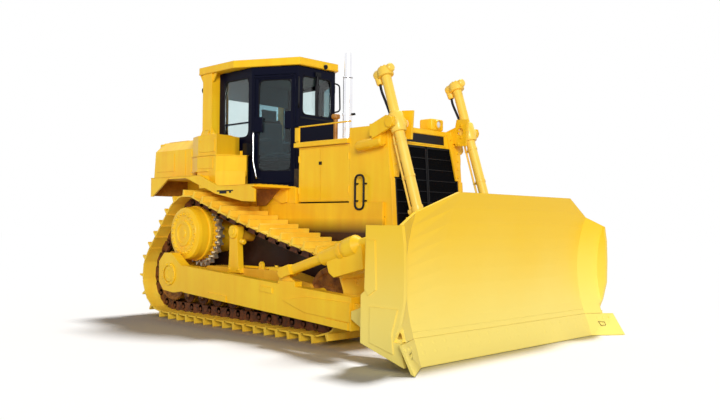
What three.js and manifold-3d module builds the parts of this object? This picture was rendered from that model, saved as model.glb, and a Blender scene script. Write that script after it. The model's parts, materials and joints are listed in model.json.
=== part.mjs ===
// Track-type bulldozer with elevated sprockets, a semi-U blade, two push arms and a cab.
// Millimetres. +X is forward, towards the blade, +Y is the machine's left side and +Z is up.
// Dimensions along X are measured from midway between the two idler axles, Z from the ground.
import * as THREE from 'three';
import { mergeVertices } from 'three/addons/utils/BufferGeometryUtils.js';
import Module from 'manifold-3d';

const wasm = await Module();
wasm.setup();

// ---- driving dimensions ----
const gap = 0.3;                  // between pieces that touch
const shortestEdge = 0.05;        // anything finer is left out
const boxMiddle = 544;            // X of the middle of the whole machine

const trackGauge = 2083;          // between the middles of the two tracks
const shoeWidth = 610;
const shoeCount = 44;
const contactLength = 3206;       // between the idler axles
const linkWidth = 230;            // over both link rails
const pinToRail = 58;             // pin centre in to the rail that the rollers run on
const wheelPlay = 7;              // between that rail and the wheels it bends round
const pinToPlate = 68;            // pin centre out to the inside of the shoe plate
const pinToShoe = 90;             // pin centre out to the outside of the shoe plate
const pinToTip = 165;             // pin centre out to the grouser's tip

const frontIdler = { x: contactLength / 2, z: 535, pinRadius: 370 };
const rearIdler = { x: -contactLength / 2, z: 575, pinRadius: 410 };
const sprocket = { x: -1030, z: 1180, pinRadius: 434, teeth: 25 };
const carrier = { x: -40, radius: 90 };
const topRunSag = 45;

const frameHalfWidth = 700;
const frameBottom = 540;
const frameTop = 1580;
const frameRear = -2100;
const drawbarEnd = -2500;

const armOuter = 1525;            // outside faces of the push arms
const armThickness = 130;
const armHeight = 347;
const armSlope = -0.0602;         // the arms fall towards the blade
const armFront = { x: 2336, z: 404 };
const trunnion = { x: -1100, z: 640, radius: 110 };
const bladePin = { x: 2440, z: 400, radius: 40, hole: 56 };

const braceRear = { x: 1270, z: 780 };
const braceFront = { x: 2800, z: 1240 };
const braceY = 1500;
const forkInner = 58;             // from the brace line to a fork's cheek
const forkThickness = 18;
const lugHalf = 8;                // of the arm's lug, which the fork straddles
const eyeHalf = 35;

const bladeHalf = 1904;
const bladeBend = 1600;           // where the side wings start
const wingSlope = 0.48;           // forward run of a wing for each unit outwards
const bladePeak = 1050;           // half width of the raised middle of the top edge
const bladeTop = 1654;
const bladeCorner = 1322;
const faceRadius = 1636;          // curve of the mouldboard
const faceCentre = { x: 4776, z: 840 };
const edgeBottom = 4;             // cutting edge above the ground
const edgeTop = 262;
const edgeBacking = 3230;         // X of the plate that the cutting edge is bolted to

const liftPivot = { x: 2165, z: 2470 };
const liftEye = { x: 2829, z: 400 };
const liftSide = 658;
const pocketHalf = 85;            // half the space for the rod's eye behind the blade
const barrelRadius = 57;

const hoodHalf = 660;
const hoodBottom = 1600;
const hoodTop = 2365;
const hoodLedge = 75;             // depth of the ledge along each side of the hood
const hoodRear = 500;
const hoodSeam = 904;
const guardRear = 1410;
const guardTop = 2470;
const guardLean = 0.075;          // forward lean of the guard's face towards its foot
const guardFront = 2020;          // X of that face at its top
const grilleHalf = 585;
const grilleBottom = 1180;
const grilleTop = 2262;

const cabSide = 655;
const cabCorner = -500;           // X where the side wall turns in to the door
const cabFront = { x: 100, half: 335 };
const cabRear = -1240;
const cabFloor = 1800;
const cabCeiling = 3440;
const cabWall = 45;
const doorBottom = 1857;
const doorTop = 3330;
const doorThickness = 45;

const roofTop = 3551;
const roofFront = { x: 140, half: 352 };
const roofSide = { x: -740, half: 791 };
const roofRear = -1560;

// ---- materials ----
function paint(color, roughness = 0.45, metalness = 0) {
  return new THREE.MeshStandardMaterial({ color, roughness, metalness });
}
const yellow = paint('#f2bf1e');
const cabBlack = paint('#10142a', 0.4);
const steel = paint('#b9bcbf', 0.25, 1);
const darkSteel = paint('#4a3626', 0.7, 0.4);
const wornSteel = paint('#d9a520', 0.6);
const glassTint = paint('#4d6a6e', 0.1);
const grilleBlack = paint('#0b0c10', 0.6);
const seatVinyl = paint('#2a2b2e', 0.8);

// ---- shapes ----
function solidOf(geometry) {
  const bare = geometry.clone();
  bare.deleteAttribute('normal');
  bare.deleteAttribute('uv');
  const merged = mergeVertices(bare, 1e-3);
  const mesh = new wasm.Mesh({
    numProp: 3,
    vertProperties: new Float32Array(merged.attributes.position.array),
    triVerts: new Uint32Array(merged.index.array),
  });
  return new wasm.Manifold(mesh);
}

function geometryOf(solid) {
  const mesh = solid.getMesh();
  const geometry = new THREE.BufferGeometry();
  geometry.setAttribute('position', new THREE.BufferAttribute(new Float32Array(mesh.vertProperties), 3));
  geometry.setIndex(new THREE.BufferAttribute(new Uint32Array(mesh.triVerts), 1));
  return geometry;
}

function join(...solids) {
  return solids.reduce((all, next) => all.add(next));
}

function block(x0, x1, y0, y1, z0, z1) {
  const geometry = new THREE.BoxGeometry(x1 - x0, y1 - y0, z1 - z0);
  geometry.translate((x0 + x1) / 2, (y0 + y1) / 2, (z0 + z1) / 2);
  return solidOf(geometry);
}

function extrude(points, depth) {
  const shape = new THREE.Shape(points.map(([a, b]) => new THREE.Vector2(a, b)));
  return new THREE.ExtrudeGeometry(shape, { depth, bevelEnabled: false });
}

// An outline in X and Z, made solid from y0 to y1.
function sidePlate(points, y0, y1) {
  const geometry = extrude(points, y1 - y0);
  geometry.rotateX(Math.PI / 2);
  geometry.translate(0, y1, 0);
  return solidOf(geometry);
}

// An outline in X and Y, made solid from z0 to z1.
function deckPlate(points, z0, z1) {
  const geometry = extrude(points, z1 - z0);
  geometry.translate(0, 0, z0);
  return solidOf(geometry);
}

// An outline in Y and Z, made solid from x0 to x1.
function crossPlate(points, x0, x1) {
  const geometry = extrude(points, x1 - x0);
  const turn = new THREE.Matrix4().makeBasis(
    new THREE.Vector3(0, 1, 0),
    new THREE.Vector3(0, 0, 1),
    new THREE.Vector3(1, 0, 0),
  );
  geometry.applyMatrix4(turn);
  geometry.translate(x0, 0, 0);
  return solidOf(geometry);
}

// A round solid about the line from one point to another; profile is [distance, radius] pairs.
function turned(from, to, profile, segments = 24) {
  const start = new THREE.Vector3(...from);
  const along = new THREE.Vector3(...to).sub(start);
  const outline = profile.map(([distance, radius]) => new THREE.Vector2(radius, distance));
  const geometry = new THREE.LatheGeometry(outline, segments);
  const up = new THREE.Vector3(0, 1, 0);
  geometry.applyQuaternion(new THREE.Quaternion().setFromUnitVectors(up, along.normalize()));
  geometry.translate(start.x, start.y, start.z);
  return solidOf(geometry);
}

function rod(from, to, radius, segments = 24) {
  const length = new THREE.Vector3(...from).distanceTo(new THREE.Vector3(...to));
  return turned(from, to, [[0, 0], [0, radius], [length, radius], [length, 0]], segments);
}

// A disc about a line along Y.
function disc(x, z, y0, y1, radius, segments = 32) {
  return rod([x, y0, z], [x, y1, z], radius, segments);
}

// A closed solid through rings of points, each ring with as many points as the next.
function loft(rings) {
  const size = rings[0].length;
  const positions = rings.flat(2);
  const index = [];
  for (let r = 0; r + 1 < rings.length; r++) {
    for (let i = 0; i < size; i++) {
      const a = r * size + i;
      const b = r * size + (i + 1) % size;
      index.push(a, b + size, b, a, a + size, b + size);
    }
  }
  const lastRing = (rings.length - 1) * size;
  const half = size / 2;
  for (let i = 0; i + 1 < half; i++) {
    const far = size - 1 - i;
    index.push(i, far - 1, far, i, i + 1, far - 1);
    const [p, q, s, t] = [i, far, far - 1, i + 1].map((k) => k + lastRing);
    index.push(p, q, s, p, s, t);
  }
  const geometry = new THREE.BufferGeometry();
  geometry.setAttribute('position', new THREE.BufferAttribute(new Float32Array(positions), 3));
  geometry.setIndex(index);
  return solidOf(geometry);
}

function mirrored(solid) {
  return solid.mirror([0, 1, 0]);
}

const machine = new THREE.Group();
machine.position.x = -boxMiddle;

function add(name, solid, material) {
  const mesh = new THREE.Mesh(geometryOf(solid.simplify(shortestEdge)), material);
  mesh.name = name;
  machine.add(mesh);
}

// Adds a piece drawn on the machine's left (+Y) and its mirror image on the right.
function addPair(name, solid, material) {
  add(`${name}_left`, solid, material);
  add(`${name}_right`, mirrored(solid), material);
}

// ---- track path ----
// The line of the track pins: ground run, front idler, sagging top run, sprocket, rear idler.
function tangentAngle(from, to) {
  const dx = to.x - from.x;
  const dz = to.z - from.z;
  const lean = Math.asin((from.pinRadius - to.pinRadius) / Math.hypot(dx, dz));
  const angle = Math.atan2(dz, dx) - Math.PI / 2 + lean;
  return angle < 0 ? angle + 2 * Math.PI : angle;
}

function pointOn(wheel, angle) {
  return [wheel.x + wheel.pinRadius * Math.cos(angle), wheel.z + wheel.pinRadius * Math.sin(angle)];
}

function arc(wheel, start, end, path) {
  const steps = Math.ceil((end - start) * wheel.pinRadius / 12);
  for (let i = 0; i < steps; i++) {
    path.push(pointOn(wheel, start + (end - start) * i / steps));
  }
}

function trackPath() {
  const path = [];
  const toSprocket = tangentAngle(frontIdler, sprocket);
  const toRear = tangentAngle(sprocket, rearIdler);
  arc(frontIdler, -Math.PI / 2, toSprocket, path);
  const start = pointOn(frontIdler, toSprocket);
  const end = pointOn(sprocket, toSprocket);
  const spanSteps = 40;
  for (let i = 0; i < spanSteps; i++) {
    const t = i / spanSteps;
    const sag = 4 * topRunSag * t * (1 - t);
    path.push([start[0] + (end[0] - start[0]) * t, start[1] + (end[1] - start[1]) * t - sag]);
  }
  arc(sprocket, toSprocket, toRear, path);
  arc(rearIdler, toRear, 1.5 * Math.PI, path);
  path.push(pointOn(rearIdler, 1.5 * Math.PI));
  return path;
}

const pins = trackPath();
const travel = [0];
for (let i = 0; i < pins.length; i++) {
  const next = pins[(i + 1) % pins.length];
  travel.push(travel[i] + Math.hypot(next[0] - pins[i][0], next[1] - pins[i][1]));
}
const trackLength = travel[pins.length];
const shoePitch = trackLength / shoeCount;

// A point on the pin line, moved outwards by offset.
function alongTrack(distance, offset) {
  const s = ((distance % trackLength) + trackLength) % trackLength;
  let i = 0;
  while (travel[i + 1] <= s) i++;
  const a = pins[i];
  const b = pins[(i + 1) % pins.length];
  const length = travel[i + 1] - travel[i];
  const t = (s - travel[i]) / length;
  const normal = [(b[1] - a[1]) / length, (a[0] - b[0]) / length];
  return [a[0] + (b[0] - a[0]) * t + normal[0] * offset, a[1] + (b[1] - a[1]) * t + normal[1] * offset];
}

function trackBand(offset, stepsPerShoe) {
  const points = [];
  const steps = shoeCount * stepsPerShoe;
  for (let i = 0; i < steps; i++) points.push(alongTrack(trackLength * i / steps, offset));
  return points;
}

function ringPlate(outer, inner, y0, y1) {
  return sidePlate(outer, y0, y1).subtract(sidePlate(inner, y0 - 10, y1 + 10));
}

function trackLoop() {
  const shoes = [];
  for (let i = 0; i < shoeCount; i++) {
    const start = i * shoePitch;
    shoes.push(alongTrack(start, pinToShoe));
    shoes.push(alongTrack(start + 0.62 * shoePitch, pinToShoe));
    shoes.push(alongTrack(start + 0.67 * shoePitch, pinToTip));
    shoes.push(alongTrack(start + 0.77 * shoePitch, pinToTip));
    shoes.push(alongTrack(start + 0.82 * shoePitch, pinToShoe));
  }
  const middle = trackGauge / 2;
  const plates = ringPlate(shoes, trackBand(pinToPlate, 2), middle - shoeWidth / 2, middle + shoeWidth / 2);
  const links = ringPlate(
    trackBand(pinToPlate + 5, 2), trackBand(-pinToRail, 2), middle - linkWidth / 2, middle + linkWidth / 2,
  );
  return plates.add(links);
}
addPair('track', trackLoop(), wornSteel);

// ---- track frame with its rollers and idlers ----
const rollerRadius = 122;
const rollerCount = 8;

function trackFrame() {
  const middle = trackGauge / 2;
  const railTop = pinToTip + pinToRail;
  const inner = middle - 150;
  const outer = middle + 150;
  let body = sidePlate([
    [-1230, 420], [1330, 420], [1420, 520], [1330, 640], [700, 760], [-700, 760], [-800, 700], [-1230, 700],
  ], inner, outer);
  const firstRoller = -1180;
  const rollerStep = (1130 - firstRoller) / (rollerCount - 1);
  for (let i = 0; i < rollerCount; i++) {
    const x = firstRoller + i * rollerStep;
    const z = railTop + gap + rollerRadius;
    const roller = disc(x, z, middle - 105, middle + 105, rollerRadius, 20);
    const bracket = block(x - 45, x + 45, inner, outer, z - 30, 430);
    body = join(body, roller, bracket);
  }
  for (const idler of [frontIdler, rearIdler]) {
    const radius = idler.pinRadius - pinToRail - wheelPlay;
    const toMiddle = Math.sign(idler.x);
    const arm = block(
      Math.min(idler.x + 60 * toMiddle, idler.x - 600 * toMiddle),
      Math.max(idler.x + 60 * toMiddle, idler.x - 600 * toMiddle),
      inner, outer, idler.z - 60, idler.z + 60,
    );
    body = join(body, disc(idler.x, idler.z, middle - 100, middle + 100, radius, 36), arm);
  }
  const [carrierX, carrierZ] = alongTrack(carrierTravel(), -pinToRail - wheelPlay - carrier.radius);
  const roller = disc(carrierX, carrierZ, middle - 110, middle + 110, carrier.radius, 20);
  const post = block(carrierX - 80, carrierX + 80, middle + 118, outer + 30, 700, carrierZ + 60);
  const axle = disc(carrierX, carrierZ, middle, outer, 45, 16);
  const stub = disc(trunnion.x, trunnion.z, inner + 20, armOuter - armThickness - gap, 95, 24);
  return join(body, roller, post, axle, stub);
}

// How far round the track its top run passes over the carrier roller.
function carrierTravel() {
  const over = pins.findIndex(([x, z]) => z > 900 && x < carrier.x);
  return travel[over];
}
addPair('track_frame', trackFrame(), yellow);

// ---- final drives ----
function finalDrive() {
  const middle = trackGauge / 2;
  const teeth = [];
  const steps = sprocket.teeth;
  for (let i = 0; i < steps; i++) {
    const angle = 2 * Math.PI * i / steps;
    const step = 2 * Math.PI / steps;
    for (const [at, radius] of [[0, 366], [0.5, 368]]) {
      const turn = angle + at * step;
      teeth.push([sprocket.x + radius * Math.cos(turn), sprocket.z + radius * Math.sin(turn)]);
    }
  }
  const wheel = sidePlate(teeth, middle - 40, middle + 40);
  const hub = turned([sprocket.x, frameHalfWidth + gap, sprocket.z], [sprocket.x, 2000, sprocket.z], [
    [0, 0], [0, 260], [200, 260], [240, 340], [400, 340], [430, 355],
    [600, 355], [640, 345], [655, 300], [655, 0],
  ], 40);
  return join(wheel, hub);
}
addPair('final_drive', finalDrive(), yellow);

// ---- main frame ----
function mainFrame() {
  const rail = sidePlate([
    [frameRear, frameTop], [frameRear, 760], [-1700, frameBottom], [1750, frameBottom], [1990, 760],
    [1990, frameTop],
  ], frameHalfWidth - 60, frameHalfWidth);
  const belly = sidePlate([
    [-1700, frameBottom], [1750, frameBottom], [1990, 760], [1950, 800], [1720, 590], [-1680, 590],
  ], -frameHalfWidth + 10, frameHalfWidth - 10);
  const rearCase = block(frameRear, -250, -frameHalfWidth + 10, frameHalfWidth - 10, 620, 1570);
  const noseBeam = block(1880, 1990, -frameHalfWidth + 10, frameHalfWidth - 10, 760, 1160);
  const engineBed = block(100, 1300, -frameHalfWidth + 10, frameHalfWidth - 10, 580, 700);
  const equalizer = crossPlate([
    [-880, 640], [-880, 560], [-500, 460], [500, 460], [880, 560], [880, 640],
  ], 1340, 1500);
  return join(rail, mirrored(rail), belly, rearCase, noseBeam, engineBed, equalizer);
}
add('main_frame', mainFrame(), yellow);

// The drawbar's two jaws are bolted to the back of the frame, with an upright pin hole through them.
const drawbar = sidePlate([
  [frameRear - gap, 600], [frameRear - gap, 900], [-2260, 800], [drawbarEnd, 800], [drawbarEnd, 620],
], -190, 190).subtract(block(drawbarEnd - 1, -2300, -200, 200, 680, 740))
  .subtract(rod([-2410, 0, 500], [-2410, 0, 900], 40));
add('drawbar', drawbar, yellow);
add('engine_block', block(130, 1330, -420, 420, 700 + gap, 2050), darkSteel);

// ---- push arms, trunnions and brace ----
const armInner = armOuter - armThickness;

function armCentre(x) {
  return armFront.z + (x - armFront.x) * armSlope;
}

function pushArm() {
  const half = armHeight / 2;
  const rearX = -780;
  const beam = sidePlate([
    [rearX, armCentre(rearX) - half], [armFront.x, armFront.z - half],
    [armFront.x, armFront.z + half], [rearX, armCentre(rearX) + half],
  ], armInner, armOuter);
  const housing = sidePlate([
    [-1360, 530], [-1250, 420], [-1000, 400], [-760, 430], [-760, 740], [-860, 790],
    [-1060, 920], [-1230, 920], [-1360, 800],
  ], armInner, armOuter);
  const tongue = sidePlate([
    [armFront.x - 50, armFront.z - 120], [armFront.x + 60, armFront.z - 90], [2480, 310], [2525, 350],
    [2525, 450], [2480, 490], [armFront.x + 60, armFront.z + 90], [armFront.x - 50, armFront.z + 120],
  ], 1432, 1488);
  const lug = sidePlate([
    [braceRear.x - 150, armCentre(braceRear.x - 150) + half - 20],
    [braceRear.x + 170, armCentre(braceRear.x + 170) + half - 20],
    [braceRear.x + 160, 690], [braceRear.x + 58, 735], [braceRear.x + 55, braceRear.z + 35],
    [braceRear.x, braceRear.z + 60], [braceRear.x - 55, braceRear.z + 35],
  ], braceY - lugHalf, braceY + lugHalf);
  const pedestal = block(braceRear.x - 90, braceRear.x + 180, 1420, armOuter, 600, 685);
  return join(beam, housing, tongue, lug, pedestal)
    .subtract(disc(trunnion.x, trunnion.z, armInner - 10, armOuter + 10, trunnion.radius + 1, 40))
    .subtract(disc(bladePin.x, bladePin.z, 1400, 1510, bladePin.hole, 24));
}
addPair('push_arm', pushArm(), yellow);
const trunnionCap = disc(trunnion.x, trunnion.z, armInner + 1, armOuter + 4, trunnion.radius, 40);
addPair('trunnion_cap', trunnionCap, yellow);

// Points on the brace line, from the rear eye to the blade.
const braceLength = Math.hypot(braceFront.x - braceRear.x, braceFront.z - braceRear.z);
function onBrace(distance) {
  const t = distance / braceLength;
  const x = braceRear.x + (braceFront.x - braceRear.x) * t;
  return [x, braceY, braceRear.z + (braceFront.z - braceRear.z) * t];
}

// Two round cheeks that straddle the arm's lug, joined ahead of it.
const forkNeck = 95;
function fork() {
  const cheeks = [-1, 1].map((side) => {
    const inner = braceY + side * forkInner;
    const outer = inner + side * forkThickness;
    const from = onBrace(0);
    const to = onBrace(forkNeck + 45);
    const [y0, y1] = [Math.min(inner, outer), Math.max(inner, outer)];
    const strap = sidePlate([
      [from[0] + 19, from[2] - 54], [to[0] + 19, to[2] - 54],
      [to[0] - 19, to[2] + 54], [from[0] - 19, from[2] + 54],
    ], y0, y1);
    return disc(braceRear.x, braceRear.z, y0, y1, 62, 24).add(strap);
  });
  const [x0, , z0] = onBrace(forkNeck);
  const [x1, , z1] = onBrace(forkNeck + 45);
  const bridge = sidePlate([
    [x0 + 19, z0 - 54], [x1 + 19, z1 - 54], [x1 - 19, z1 + 54], [x0 - 19, z0 + 54],
  ], braceY - forkInner - forkThickness, braceY + forkInner + forkThickness);
  return join(...cheeks, bridge);
}

function braceHead() {
  return disc(braceFront.x, braceFront.z, braceY - eyeHalf, braceY + eyeHalf, 70, 24);
}

const headHole = disc(braceFront.x, braceFront.z, braceY - 60, braceY + 60, 32, 20);
const barrelStart = 650;
const barrelEnd = 985;
const headNeck = [
  [barrelStart, 0], [barrelStart, 86], [barrelEnd - 55, 86], [barrelEnd - 55, 104], [barrelEnd, 104],
  [barrelEnd, 98], [1040, 108], [1170, 108], [1240, 50], [1440, 34], [braceLength - 40, 34],
  [braceLength - 40, 0],
];
const barrelGuard = sidePlate([
  [2000, 960], [1990, 913], [2025, 815], [2100, 770], [2530, 878], [2500, 1120],
], braceY - 55, braceY + 55);
const tiltBarrel = join(turned(onBrace(0), onBrace(braceLength), headNeck), braceHead(), barrelGuard)
  .subtract(headHole)
  .subtract(rod(onBrace(barrelStart - 20), onBrace(barrelEnd - 20), 60));
add('tilt_cylinder_barrel', mirrored(tiltBarrel), yellow);
const tiltRod = join(fork(), rod(onBrace(forkNeck + 20), onBrace(barrelEnd - 110), 55));
add('tilt_cylinder_rod', mirrored(tiltRod), yellow);
const brace = join(
  fork(), rod(onBrace(forkNeck + 20), onBrace(1100), 74),
  turned(onBrace(0), onBrace(braceLength), [
    [1000, 0], [1000, 84], [1190, 84], [1270, 50], [1440, 34], [braceLength - 40, 34],
    [braceLength - 40, 0],
  ]),
  braceHead(),
).subtract(headHole);
add('brace_left', brace, yellow);

// ---- blade ----
function faceX(z) {
  return faceCentre.x - Math.sqrt(faceRadius ** 2 - (z - faceCentre.z) ** 2);
}

function topAt(y) {
  const out = Math.max(0, Math.abs(y) - bladePeak) / (bladeHalf - bladePeak);
  return bladeTop + (bladeCorner - bladeTop) * out;
}

// How far the wing has swung forward.
function wingSwing(y) {
  return Math.max(0, Math.abs(y) - bladeBend) * wingSlope;
}

function mouldboardRing(y) {
  const rows = 9;
  const thickness = 40;
  const front = [];
  const back = [];
  for (let i = 0; i <= rows; i++) {
    const z = edgeTop + gap + (topAt(y) - edgeTop - gap) * i / rows;
    const x = faceX(z) + wingSwing(y);
    front.push([x, y, z]);
    back.push([x - thickness, y, z]);
  }
  return [...front, ...back.reverse()];
}

// Front edge of an end plate from its foot to its top corner; the foot of each wing is cut back to it.
const plateFront = [
  [3262, 262], [3275, 285], [3335, 430], [3384, 640], [3388, 900], [3380, 1150], [3355, bladeCorner],
];

function blade() {
  const boardEnd = bladeHalf - 8;
  const stations = [-boardEnd, -bladeBend, -bladePeak, bladePeak, bladeBend, boardEnd];
  const notch = sidePlate([...plateFront.slice(0, 3), [3500, 430], [3500, 262]], 1832, bladeHalf + 10);
  const board = loft(stations.map(mouldboardRing)).subtract(notch).subtract(mirrored(notch));
  const parts = [board];
  parts.push(block(2860, 3180, -1620, 1620, 130, 300));
  parts.push(block(2860, 3120, -1612, 1612, 290, 520));
  parts.push(block(3090, edgeBacking, -bladeBend, bladeBend, 130, 320));
  parts.push(block(2960, 3160, -1400, 1400, 1180, 1400));
  for (const y of [-1400, -950, -350, 310, 910, 1360]) {
    parts.push(sidePlate([
      [2890, 505], [3110, 505], [3110, 760], [3125, 840], [3140, 1100], [3190, 1370],
      [2980, 1370], [2920, 1100],
    ], y, y + 40));
  }
  for (const side of [-1, 1]) {
    const plate = sidePlate([
      [2901, bladeCorner], [2891, 700], [2841, 665], [2841, 210], [3390, 40], [3345, 255], ...plateFront,
    ], bladeHalf - 40, bladeHalf);
    const sole = [[2860, 215], [3230, 160], [3230, 200], [2860, 255]];
    const floor = sidePlate(sole, bladeBend - 20, bladeHalf - 10);
    const backing = loft([
      [[3226, 1590, 120], [3226, 1590, 300], [3100, 1590, 300], [3100, 1590, 120]],
      [[3338, 1875, 100], [3338, 1875, 290], [3180, 1875, 290], [3180, 1875, 100]],
    ]);
    const cheeks = [[1366, 1396], [1524, 1554]].map(([y0, y1]) => sidePlate([
      [2880, 150], [2880, 640], [2480, 480], [2365, 440], [2365, 360], [2480, 300],
    ], y0, y1));
    const pin = disc(bladePin.x, bladePin.z, 1380, 1540, bladePin.radius, 24);
    const braceLugs = [braceY - 40 - 25, braceY + 40].map((y) => sidePlate([
      [3130, 1060], [3185, 1330], [3010, 1310], [2840, 1316], [2740, 1286], [2740, 1196], [2840, 1156],
    ], y, y + 25));
    const bracePin = disc(braceFront.x, braceFront.z, braceY - 65, braceY + 65, 30, 20);
    const liftLugs = [liftSide - pocketHalf - 30, liftSide + pocketHalf].map((y) => sidePlate([
      [2900, 200], [2900, 560], [liftEye.x - 10, liftEye.z + 75], [liftEye.x - 75, liftEye.z + 30],
      [liftEye.x - 75, liftEye.z - 30], [liftEye.x - 10, liftEye.z - 75],
    ], y, y + 30));
    for (const piece of [plate, floor, backing, ...cheeks, pin, ...braceLugs, bracePin, ...liftLugs]) {
      parts.push(side > 0 ? piece : mirrored(piece));
    }
  }
  const pocket = join(
    block(liftEye.x - 200, 2960, liftSide - pocketHalf, liftSide + pocketHalf, 190, 620),
    block(liftEye.x - 200, 2960, liftSide - 125, liftSide + 125, 480, 620),
  );
  return join(...parts).subtract(pocket).subtract(mirrored(pocket));
}
add('blade', blade(), yellow);

const edgeSection = [[3340, edgeBottom], [3252, edgeTop], [3214, edgeTop], [3296, edgeBottom + 12]];
add('cutting_edge', sidePlate(edgeSection, -bladeBend + 1, bladeBend - 1)
  .subtract(block(3000, edgeBacking + gap, -bladeHalf, bladeHalf, 100, 330)), yellow);

const bitTip = 1978;
const endBit = loft([
  [[3340, bladeBend, edgeBottom], [3252, bladeBend, edgeTop], [edgeBacking + gap, bladeBend, edgeTop],
    [3296, bladeBend, edgeBottom + 12]],
  [[3588, bitTip, edgeBottom], [3425, bitTip, edgeTop - 6], [3393, bitTip, edgeTop - 8],
    [3540, bitTip, edgeBottom + 12]],
]);
addPair('end_bit', endBit, yellow);

// ---- lift cylinders ----
const liftLength = Math.hypot(liftEye.x - liftPivot.x, liftEye.z - liftPivot.z);
function onLift(distance, y = liftSide) {
  const t = distance / liftLength;
  return [liftPivot.x + (liftEye.x - liftPivot.x) * t, y, liftPivot.z + (liftEye.z - liftPivot.z) * t];
}
const barrelTop = -676;
const collarHalf = 106;
const barrelFoot = 1060;
const liftBore = 44;
function liftBarrel() {
  const tube = turned(onLift(barrelTop), onLift(barrelFoot), [
    [0, 0], [0, 76], [100, 76], [100, barrelRadius], [-barrelTop - collarHalf, barrelRadius],
    [-barrelTop - collarHalf, 78], [-barrelTop + collarHalf, 78], [-barrelTop + collarHalf, barrelRadius],
    [barrelFoot - barrelTop - 70, barrelRadius], [barrelFoot - barrelTop - 70, 64],
    [barrelFoot - barrelTop, 64], [barrelFoot - barrelTop, 0],
  ]);
  const pivots = disc(liftPivot.x, liftPivot.z, liftSide - 135, liftSide + 135, 45, 24);
  return join(tube, pivots).subtract(rod(onLift(barrelTop + 40), onLift(barrelFoot + 20), liftBore + 1));
}
addPair('lift_cylinder_barrel', liftBarrel(), yellow);
const rodTop = 512;               // of the rod in its barrel, from the pivot
const liftRod = join(
  rod(onLift(rodTop), onLift(liftLength - 20), liftBore - 4),
  disc(liftEye.x, liftEye.z, liftSide - 45, liftSide + 45, 62, 24),
);
addPair('lift_cylinder_rod', liftRod, steel);

// ---- radiator guard, grille doors and hood ----
function guardFace(z, back = 0) {
  return guardFront + (guardTop - z) * guardLean - back;
}
const guardWall = 25;

function radiatorGuard() {
  const foot = frameTop + gap;
  const outline = [
    [guardRear, foot], [guardFace(foot), foot], [guardFace(guardTop), guardTop], [guardRear, guardTop],
  ];
  const shell = sidePlate(outline, -hoodHalf, hoodHalf);
  const nose = sidePlate([
    [1991, 1150], [guardFace(1150), 1150], [guardFace(frameTop + 5), frameTop + 5], [1991, frameTop + 5],
  ], -hoodHalf, hoodHalf);
  const inside = hoodHalf - guardWall;
  const room = block(guardRear - 10, guardFront - 60, -inside, inside, foot - 5, guardTop - guardWall);
  const opening = sidePlate([
    [guardFront - 100, grilleBottom], [guardFace(grilleBottom) + 20, grilleBottom],
    [guardFace(grilleTop) + 20, grilleTop], [guardFront - 100, grilleTop],
  ], -grilleHalf, grilleHalf);
  const brackets = [-1, 1].map((side) => {
    const outerPlate = sidePlate([
      [1900, 2300], [2110, 2380], [2225, 2430], [2225, 2520], [2110, 2550], [1900, 2469],
    ], liftSide + 102, liftSide + 132);
    const innerPlate = sidePlate([
      [1900, 2300], [2090, 2330], [2100, 2300], [2255, 2290], [2275, 2615], [2110, 2625], [2090, 2530],
      [1900, 2469],
    ], liftSide - 165, liftSide - 135);
    const web = block(1860, 1990, liftSide - 165, liftSide + 132, 2330, 2469);
    const all = join(outerPlate, innerPlate, web);
    return side > 0 ? all : mirrored(all);
  });
  return join(shell, nose, ...brackets).subtract(room).subtract(opening)
    .subtract(block(1900, 1990.7, -720, 720, 1100, foot))
    .subtract(disc(liftPivot.x, liftPivot.z, -900, 900, 48, 24));
}
add('radiator_guard', radiatorGuard(), yellow);

function grilleDoor() {
  const inset = 4;
  const low = grilleBottom + inset;
  const high = grilleTop - inset;
  return sidePlate([
    [guardFace(low, 45), low], [guardFace(low, 5), low],
    [guardFace(high, 5), high], [guardFace(high, 45), high],
  ], 3, grilleHalf - inset);
}
addPair('grille_door', grilleDoor(), grilleBlack);

const hoodSlab = join(
  crossPlate([
    [-hoodHalf - 40, hoodTop - hoodLedge], [hoodHalf + 40, hoodTop - hoodLedge],
    [hoodHalf + 40, hoodTop - 20],
    [hoodHalf - 60, hoodTop], [-hoodHalf + 60, hoodTop], [-hoodHalf - 40, hoodTop - 20],
  ], hoodRear - 60, guardRear - gap),
);
add('hood', hoodSlab, yellow);
const doorPanel = 30;
const doorPlayX = 2;
function engineDoor(x0, x1) {
  const top = hoodTop - hoodLedge - 5;
  return block(x0 + doorPlayX, x1 - doorPlayX, hoodHalf - doorPanel, hoodHalf, hoodBottom, top);
}
addPair('engine_door_rear', engineDoor(hoodRear, hoodSeam), yellow);
addPair('engine_door_front', engineDoor(hoodSeam, guardRear - doorPlayX), yellow);

const stackFoot = hoodTop + gap;
const stack = turned([1005, -300, stackFoot], [1005, -300, 4000], [
  [0, 0], [0, 80], [12, 80], [12, 60], [790, 60], [810, 45], [1110, 45], [1110, 0],
], 28);
add('exhaust_stack', stack, steel);

// ---- cab ----
const cabPlan = [
  [cabRear, -cabSide], [cabCorner, -cabSide], [cabFront.x, -cabFront.half],
  [cabFront.x, cabFront.half], [cabCorner, cabSide], [cabRear, cabSide],
];

// Unit vectors along the left door, rear to front, and out of it.
const doorRun = Math.hypot(cabFront.x - cabCorner, cabSide - cabFront.half);
const doorAlong = [(cabFront.x - cabCorner) / doorRun, (cabFront.half - cabSide) / doorRun];
const doorOut = [-doorAlong[1], doorAlong[0]];

// A rectangle on the left door plane: s runs forward from the side corner, o runs outwards.
function doorPlate(s0, s1, o0, o1, z0, z1) {
  const corner = (s, o) => [
    cabCorner + doorAlong[0] * s + doorOut[0] * o, cabSide + doorAlong[1] * s + doorOut[1] * o,
  ];
  return deckPlate([corner(s0, o0), corner(s1, o0), corner(s1, o1), corner(s0, o1)], z0, z1);
}

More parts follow.
